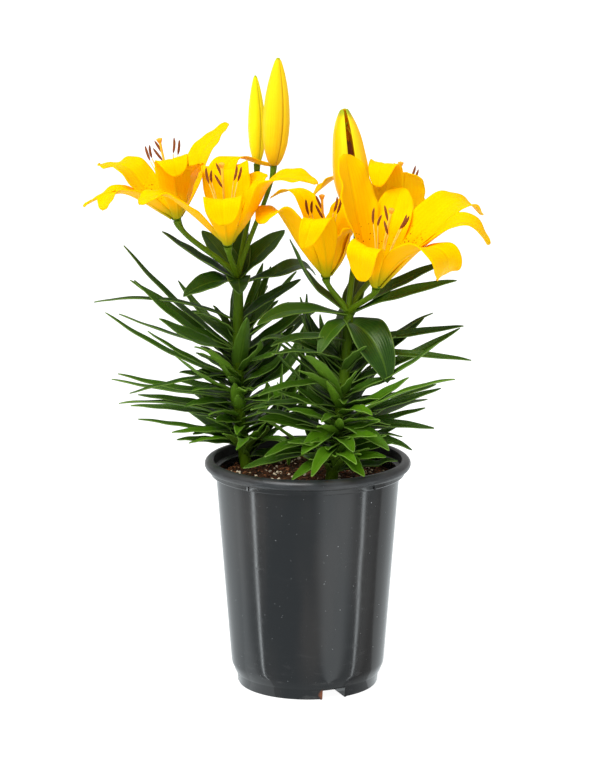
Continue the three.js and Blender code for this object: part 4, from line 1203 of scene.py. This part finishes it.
def bud(name, base, lean, length, radius, tone, finishes):
    """Three broad ribs that meet in seams and draw in to a narrow tip."""
    matrix = head_matrix(base, lean)
    levels = [(0, 0.3), (0.02, 0.42), (0.06, 0.58), (0.12, 0.74), (0.2, 0.89), (0.3, 0.97), (0.4, 1.0),
              (0.52, 0.95), (0.64, 0.86), (0.76, 0.7), (0.86, 0.52), (0.93, 0.36), (0.97, 0.25), (1, 0.1)]

    def place(u, v):
        level, girth = on_profile(levels, v)
        turn = 2 * math.pi * (u + 0.03 * math.sin(3 * level))
        off = (u * 3 + 0.5) % 1 * 2 - 1
        seam = 1 - 0.11 * math.exp(-(((1 - abs(off)) / 0.09) ** 2))
        r = radius * girth * (1 + 0.07 * math.cos(6 * math.pi * u)) * seam
        return matrix @ around(r, turn, length * level)

    build = Build()
    build.skin(72, (len(levels) - 1) * 4, place, tone, closed=True)
    bmesh.ops.holes_fill(build.mesh, edges=build.mesh.edges, sides=0)
    build.piece(name + "_skin", finishes, "bud", name)


def opening_tepals():
    """Swollen low down and still closed to a point, with a gap in front."""
    rows = []
    for k, azimuth in enumerate(OPENING_AZIMUTHS):
        form = OPENING_SHORT if k == 5 else OPENING_INNER if k % 2 else OPENING_OUTER
        rows.append({
            "azimuth": azimuth,
            **form,
            "flare": -27,
            "bend": 0.8,
            "curl": -18,
            "sweep": 0,
            "start": TEPAL_START[k % 2],
            "low": TEPAL_LOW[k % 2],
            "channel": 1 / 14,
            "wave": 0,
            "phase": 0,
        })
    return rows


def anther_bunch(matrix, finishes):
    """The closed anthers seen in the opening bud's gap, on one bundle of filaments."""
    build = Build()
    foot = RECEPTACLE_HEIGHT + GAP
    top = foot + BUNCH_HEIGHT
    core = [matrix @ Vector((0, 0, mix(foot, top - 4, share))) for share in shares(8)]
    build.tube(core, [BUNCH_RADIUS] * len(core), 12, slot=1)
    girth = [0.2, 0.75, 0.95, 1, 1, 0.95, 0.75, 0.2]
    for k in range(6):
        centre = around(BUNCH_SPREAD, math.radians(k * 60 + 30), top)
        rises = [mix(-BUNCH_HALF, BUNCH_HALF, share) for share in shares(len(girth) - 1)]
        centres = [matrix @ (centre + Vector((0, 0, rise))) for rise in rises]
        build.tube(centres, [BUNCH_RADIUS * g for g in girth], 12, tone=0.3 + 0.1 * k, lobes=0.1)
    build.piece("bud_opening_anthers", finishes, "stamens", "bud_opening_stamens")


# Bulbs


def bulb(name, finish):
    """A bulb whose scales show as six ridges that wind up to its neck."""
    stem = STEMS[name]
    base = Vector(stem["bulb"])
    along = (Vector(stem["curve"][0]) - base).normalized()
    matrix = Matrix.Translation(base) @ Vector((0, 0, 1)).rotation_difference(along).to_matrix().to_4x4()
    girth = [(0, 0.3), (0.12, 0.7), (0.34, 1), (0.6, 0.94), (0.82, 0.6), (1, 0.266)]

    def place(u, v):
        level, wide = on_profile(girth, v)
        turn = 2 * math.pi * u
        step = abs(math.sin(3 * turn + 5 * level))
        return matrix @ around(BULB_RADIUS * wide * (0.93 + 0.07 * step), turn, BULB_HEIGHT * level)

    build = Build()
    build.skin(60, 30, place, closed=True)
    bmesh.ops.holes_fill(build.mesh, edges=build.mesh.edges, sides=0)
    build.piece("bulb_scales_" + name, [finish], "bulb", "bulb_" + name)


# Pot


def turned(build, profile, sides):
    """A profile of radius and height pairs spun round the pot's axis."""
    bm = build.mesh
    verts = [bm.verts.new((r * MM, 0, z * MM)) for r, z in profile]
    edges = [bm.edges.new(pair) for pair in zip(verts, verts[1:])]
    bmesh.ops.spin(
        bm, geom=verts + edges, axis=(0, 0, 1), cent=(0, 0, 0), angle=2 * math.pi, steps=sides,
        use_merge=True)
    bmesh.ops.remove_doubles(bm, verts=bm.verts, dist=1e-6)
    for face in bm.faces:
        face.smooth = True
    bmesh.ops.recalc_face_normals(bm, faces=bm.faces)


def away_from(anchor, offsets):
    """Points of a profile, each given by how far out and up it lies from an anchor."""
    return [(anchor[0] + out, anchor[1] + up) for out, up in offsets]


def pot_profile():
    """From the middle of the base up the outside, over the rolled rim and down the inside."""
    foot = (FOOT_RADIUS, FOOT_HEIGHT)
    profile = [(0, 0)]
    profile += away_from((FOOT_RADIUS, 0), [(-1.4, 0), (-0.4, 0.3), (0, 1.2)])
    profile += away_from(foot, [(0.9, -0.3), (1.1, 0), (1.8, 0.05), (2.4, 1.0), (3.8, 4.6)])
    profile += away_from(SHOULDER, [(-0.5, -2.5), (0, 0)])
    for share in (0.05, 0.25, 0.5, 0.75, 0.95):
        profile.append([mix(low, high, share) for low, high in zip(SHOULDER, NECK)])
    profile += away_from(NECK, [(0, 0), (0.7, 0.4), (3.6, 0.9), (4.3, 1.6)])
    profile += away_from((NECK[0], POT_HEIGHT), [(4.9, -8.0), (5.4, -7.2)])
    out, up = RIM_ROLL
    for degrees in range(-75, 91, 15):
        turn = math.radians(degrees)
        profile.append((RIM_RADIUS - out + out * math.cos(turn), POT_HEIGHT - up + up * math.sin(turn)))
    profile += away_from((MOUTH_RADIUS, POT_HEIGHT), [(1.2, 0), (0, -1), (-0.5, -8)])
    profile += [(NECK[0] - WALL, POT_HEIGHT - 9.6), (SHOULDER[0] - WALL, SHOULDER[1])]
    profile += [(FOOT_RADIUS - 0.6, FOOT_HEIGHT + 1), (FOOT_RADIUS - 1.6, FLOOR), (0, FLOOR)]
    return profile


def box_mesh(size, centre, turn):
    """A box that is joined to the pot or cut away, turned about the pot's axis."""
    bm = bmesh.new()
    place = Matrix.Rotation(turn, 4, "Z") @ Matrix.Translation(Vector(centre) * MM)
    bmesh.ops.create_cube(bm, size=1, matrix=place @ Matrix.Diagonal((*[c * MM for c in size], 1)))
    mesh = bpy.data.meshes.new("cutter")
    bm.to_mesh(mesh)
    bm.free()
    return mesh


def carved(mesh, steps):
    """Joins boxes to a mesh or cuts them away, one by one, and gives the result."""
    raw = bpy.data.objects.new("raw", mesh)
    bpy.context.scene.collection.objects.link(raw)
    for box, operation in steps:
        tool = bpy.data.objects.new("tool", box)
        bpy.context.scene.collection.objects.link(tool)
        step = raw.modifiers.new("cut", "BOOLEAN")
        step.operation = operation
        step.object = tool
        step.solver = "EXACT"
        bpy.context.view_layer.update()
        result = bpy.data.meshes.new_from_object(raw.evaluated_get(bpy.context.evaluated_depsgraph_get()))
        raw.modifiers.clear()
        raw.data = result
        bpy.data.objects.remove(tool)
    final = raw.data
    bpy.data.objects.remove(raw)
    final.materials.clear()
    return final


def notch_turns():
    """Where the drain notches stand round the foot, in radians."""
    return [math.radians(NOTCH_FIRST + 360 / NOTCH_COUNT * k) for k in range(NOTCH_COUNT)]


def hood_box(grow, turn):
    """The raised box over a drain notch, grown by a clearance all round."""
    width, depth, height = NOTCH_SIZE
    inner = FOOT_RADIUS - depth - WALL - grow
    size = (FOOT_RADIUS - inner - 1, width + 2 * (WALL + grow), height + WALL + grow)
    return box_mesh(size, (inner + size[0] / 2, 0, size[2] / 2), turn)


def recess_box(turn):
    """The drain notch itself, cut from below."""
    width, depth, height = NOTCH_SIZE
    inner = FOOT_RADIUS - depth
    reach = depth + 6
    return box_mesh((reach, width, height + 4), (inner + reach / 2, 0, (height + 4) / 2 - 4), turn)


def slot_box(turn):
    """The slot through the top of a notch's hood."""
    _, depth, height = NOTCH_SIZE
    return box_mesh((*NOTCH_SLOT, 3 * WALL), (FOOT_RADIUS - depth / 2 - 1, 0, height + WALL / 2), turn)


def lug_box(turn):
    """A slim moulded rib on the collar under the rim."""
    return box_mesh(LUG_SIZE, (NECK[0] + 4.6, 0, NECK[1] + 4.6), turn)


def pot(finish):
    """The turned wall with its lugs and hooded drain notches."""
    build = Build()
    turned(build, pot_profile(), 144)
    lugs = [(lug_box(math.radians(turn)), "UNION") for turn in LUG_TURNS]
    hoods = [(hood_box(0, turn), "UNION") for turn in notch_turns()]
    cuts = [(box(turn), "DIFFERENCE") for turn in notch_turns() for box in (recess_box, slot_box)]
    wall = carved(build.to_mesh("pot_wall"), lugs + hoods + cuts)
    piece = placed("pot_wall", wall, [finish], "pot_plastic", "pot")
    piece.data.set_sharp_from_angle(angle=math.radians(35))


# Soil


def soil_height(x, y):
    """The uneven top of the soil."""
    ripple = math.sin(x * 0.21 + 1.3) * math.cos(y * 0.17 - 0.4)
    crumbs = math.sin(x * 0.55 + y * 0.38) + math.cos(y * 0.62 - x * 0.29)
    lumps = noise.noise(Vector((x * 0.35, y * 0.35, 3.1))) * 1.1
    specks = noise.noise(Vector((x * 0.9, y * 0.9, 7.7))) * 0.5
    return SOIL_LEVEL + 1.1 * ripple + 0.55 * crumbs + (lumps + specks)


def wall_radius(z):
    """The outside radius of the pot's wall at a height."""
    return mix(SHOULDER[0], NECK[0], (z - SHOULDER[1]) / (NECK[1] - SHOULDER[1]))


def soil(finish):
    """The root ball's side and base, and its crumbly top."""
    edge = wall_radius(SOIL_LEVEL - 1) - WALL - GAP
    side = [
        (FOOT_RADIUS - 1.9, FLOOR + GAP),
        (FOOT_RADIUS - 0.9, FOOT_HEIGHT + 1),
        (SHOULDER[0] - WALL - GAP, SHOULDER[1]),
        (edge, SOIL_LEVEL - 1),
    ]
    rings = 46

    def place(u, v):
        turn = 2 * math.pi * u
        i = round(v * (rings + len(side)))
        if i == 0:
            return Vector((0, 0, FLOOR + GAP))
        if i <= len(side):
            radius, height = side[i - 1]
            return around(radius, turn, height)
        r = edge * (1 - (i - len(side)) / rings)
        x, y = r * math.cos(turn), r * math.sin(turn)
        return Vector((x, y, soil_height(x, y) - 1.5 * smooth((r - edge + 6) / 6)))

    build = Build()
    build.skin(128, rings + len(side), place, closed=True)
    for face in build.mesh.faces:
        face.smooth = False
    hoods = [(hood_box(GAP, turn), "DIFFERENCE") for turn in notch_turns()]
    ball = carved(build.to_mesh("soil_ball"), hoods)
    placed("soil_ball", ball, [finish], "soil", "soil")


def litter_size(draw):
    """The half sizes of one bit and its finish: a bark chip, a round grain of grit or a crumb."""
    kind = draw()
    if kind < BARK_BELOW:
        return [mix(*limits, draw()) for limits in BARK_SIZES], 0
    if kind < GRIT_BELOW:
        return [mix(*GRIT_SIZES, draw())] * 3, 1
    return [mix(*limits, draw()) for limits in CRUMB_SIZES], 2


def litter(finishes):
    """Bark chips, pale grit and crumbs strewn over the soil."""
    draw = dice(LITTER_SEED)
    noise.seed_set(LITTER_SEED)
    build = Build()
    edge = wall_radius(SOIL_LEVEL) - WALL - 3
    for _ in range(LITTER_COUNT):
        r = edge * math.sqrt(draw())
        turn = 2 * math.pi * draw()
        x, y = r * math.cos(turn), r * math.sin(turn)
        size, slot = litter_size(draw)
        pose = Matrix.Translation(Vector((x, y, soil_height(x, y) + 0.25 * size[2])) * MM)
        for swing, middle, axis in LITTER_SWINGS:
            pose = pose @ Matrix.Rotation(swing * (draw() - middle), 4, axis)
        pose = pose @ Matrix.Diagonal((*[c * MM for c in size], 1))
        made = bmesh.ops.create_icosphere(build.mesh, subdivisions=1, radius=1, matrix=pose)["verts"]
        for vert in made:
            vert.co += noise.noise_vector(vert.co * 900) * (0.35 * MM * size[2])
        for face in {f for vert in made for f in vert.link_faces}:
            face.material_index = slot
    build.piece("soil_litter", finishes, "soil")


# Stage


def sheet_on_floor(name, size, height, finish):
    """A square sheet of the stage, lying at a height."""
    bm = bmesh.new()
    bmesh.ops.create_grid(bm, x_segments=1, y_segments=1, size=size)
    bmesh.ops.translate(bm, verts=bm.verts, vec=(0, 0, height))
    mesh = bpy.data.meshes.new(name)
    bm.to_mesh(mesh)
    bm.free()
    sheet = bpy.data.objects.new(name, mesh)
    bpy.context.scene.collection.objects.link(sheet)
    mesh.materials.append(finish)
    return sheet


def stage():
    """The white floor, and the card just above it that only the pot's gloss sees."""
    sheet_on_floor("floor", FLOOR_REACH, 0, white_floor())
    card = sheet_on_floor("studio_card", CARD_REACH, CARD_HEIGHT, studio_card())
    card.visible_camera = False
    card.visible_diffuse = False
    card.visible_transmission = False
    card.visible_shadow = False


def sun(name, place, strength, spread):
    """A distant light that shines from a place towards the pot's foot, with its spread in degrees."""
    light = bpy.data.lights.new(name, "SUN")
    light.energy = strength
    light.angle = math.radians(spread)
    lit = bpy.data.objects.new(name, light)
    lit.location = place
    lit.rotation_euler = (-lit.location).to_track_quat("-Z", "Y").to_euler()
    bpy.context.scene.collection.objects.link(lit)


def lights():
    """A white surround that the camera sees at full strength, and one broad soft key light."""
    world = bpy.data.worlds.new("studio")
    world.use_nodes = True
    tree = world.node_tree
    tree.nodes.clear()
    seen = node(tree, "ShaderNodeLightPath").outputs["Is Camera Ray"]
    strength = node(tree, "ShaderNodeMapRange", _0=seen, _1=0.0, _2=1.0, _3=SURROUND, _4=1.0).outputs[0]
    back = node(tree, "ShaderNodeBackground", Color=rgb(1, 1, 1), Strength=strength)
    end = node(tree, "ShaderNodeOutputWorld")
    tree.links.new(back.outputs[0], end.inputs[0])
    bpy.context.scene.world = world
    sun("key", place=(-0.7, -1.1, 1.7), strength=3.2, spread=40)


def camera():
    """A camera at the photograph's viewing angle."""
    lens = bpy.data.cameras.new("camera")
    lens.lens = CAMERA_LENS
    lens.sensor_width = CAMERA_SENSOR
    lens.sensor_fit = "AUTO"
    seen = bpy.data.objects.new("camera", lens)
    seen.location = CAMERA_PLACE
    seen.rotation_euler = (math.radians(CAMERA_TILT), 0, 0)
    bpy.context.scene.collection.objects.link(seen)
    bpy.context.scene.camera = seen


def plant():
    """The two plants: stems with their leaves, bulbs, blooms and buds."""
    stalk = stalk_skin()
    leaf_finishes = [leaf_skin("leaf_under", True), leaf_skin("leaf_top", False), stalk]
    petal_finishes = [tepal_skin("petal_outside", False), tepal_skin("petal_inside", True), stalk]
    opening_finishes = [opening_skin("opening_outside", False), opening_skin("opening_inside", True), stalk]
    filament = smooth_flesh("filament", rgb(0.75, 0.62, 0.08), rgb(0.95, 0.8, 0.2))
    anther_finishes = [pollen(), filament]
    pistil_finishes = [
        smooth_flesh("style", rgb(0.95, 0.5, 0.02), rgb(1.0, 0.66, 0.05)),
        smooth_flesh("ovary", rgb(0.3, 0.45, 0.04), rgb(0.5, 0.6, 0.06)),
        smooth_flesh("stigma", rgb(0.85, 0.36, 0.02), rgb(1.0, 0.52, 0.03)),
    ]
    skin = [bud_skin()]
    flesh = bulb_flesh()
    for name in STEMS:
        leafy_stem(name, leaf_finishes)
        bulb(name, flesh)
    for name, (_, base, lean, cup, rows) in BLOOMS.items():
        matrix = head_matrix(base, lean)
        tepal_ring(name, tepals_of(cup, rows), matrix, petal_finishes, "tepals")
        stamens(name, matrix, anther_finishes)
        pistil(name, matrix, pistil_finishes)
    for tone, (name, (_, base, lean, length, radius)) in zip(BUD_TONES, BUDS.items()):
        bud(name, base, lean, length, radius, tone, skin)
    opening = head_matrix(*OPENING_BUD[1:])
    tepal_ring("bud_opening", opening_tepals(), opening, opening_finishes, "bud")
    anther_bunch(opening, anther_finishes)


pot(pot_plastic())
soil(potting_mix())
litter([
    grain("bark_chip", rgb(0.05, 0.018, 0.008), rgb(0.26, 0.1, 0.035), 500.0),
    grain("pale_grit", rgb(0.42, 0.32, 0.2), rgb(0.75, 0.68, 0.52), 600.0),
    grain("crumb", rgb(0.015, 0.008, 0.004), rgb(0.1, 0.035, 0.012), 700.0),
])
plant()
stage()
lights()
camera()
bpy.context.scene.view_settings.view_transform = "Standard"
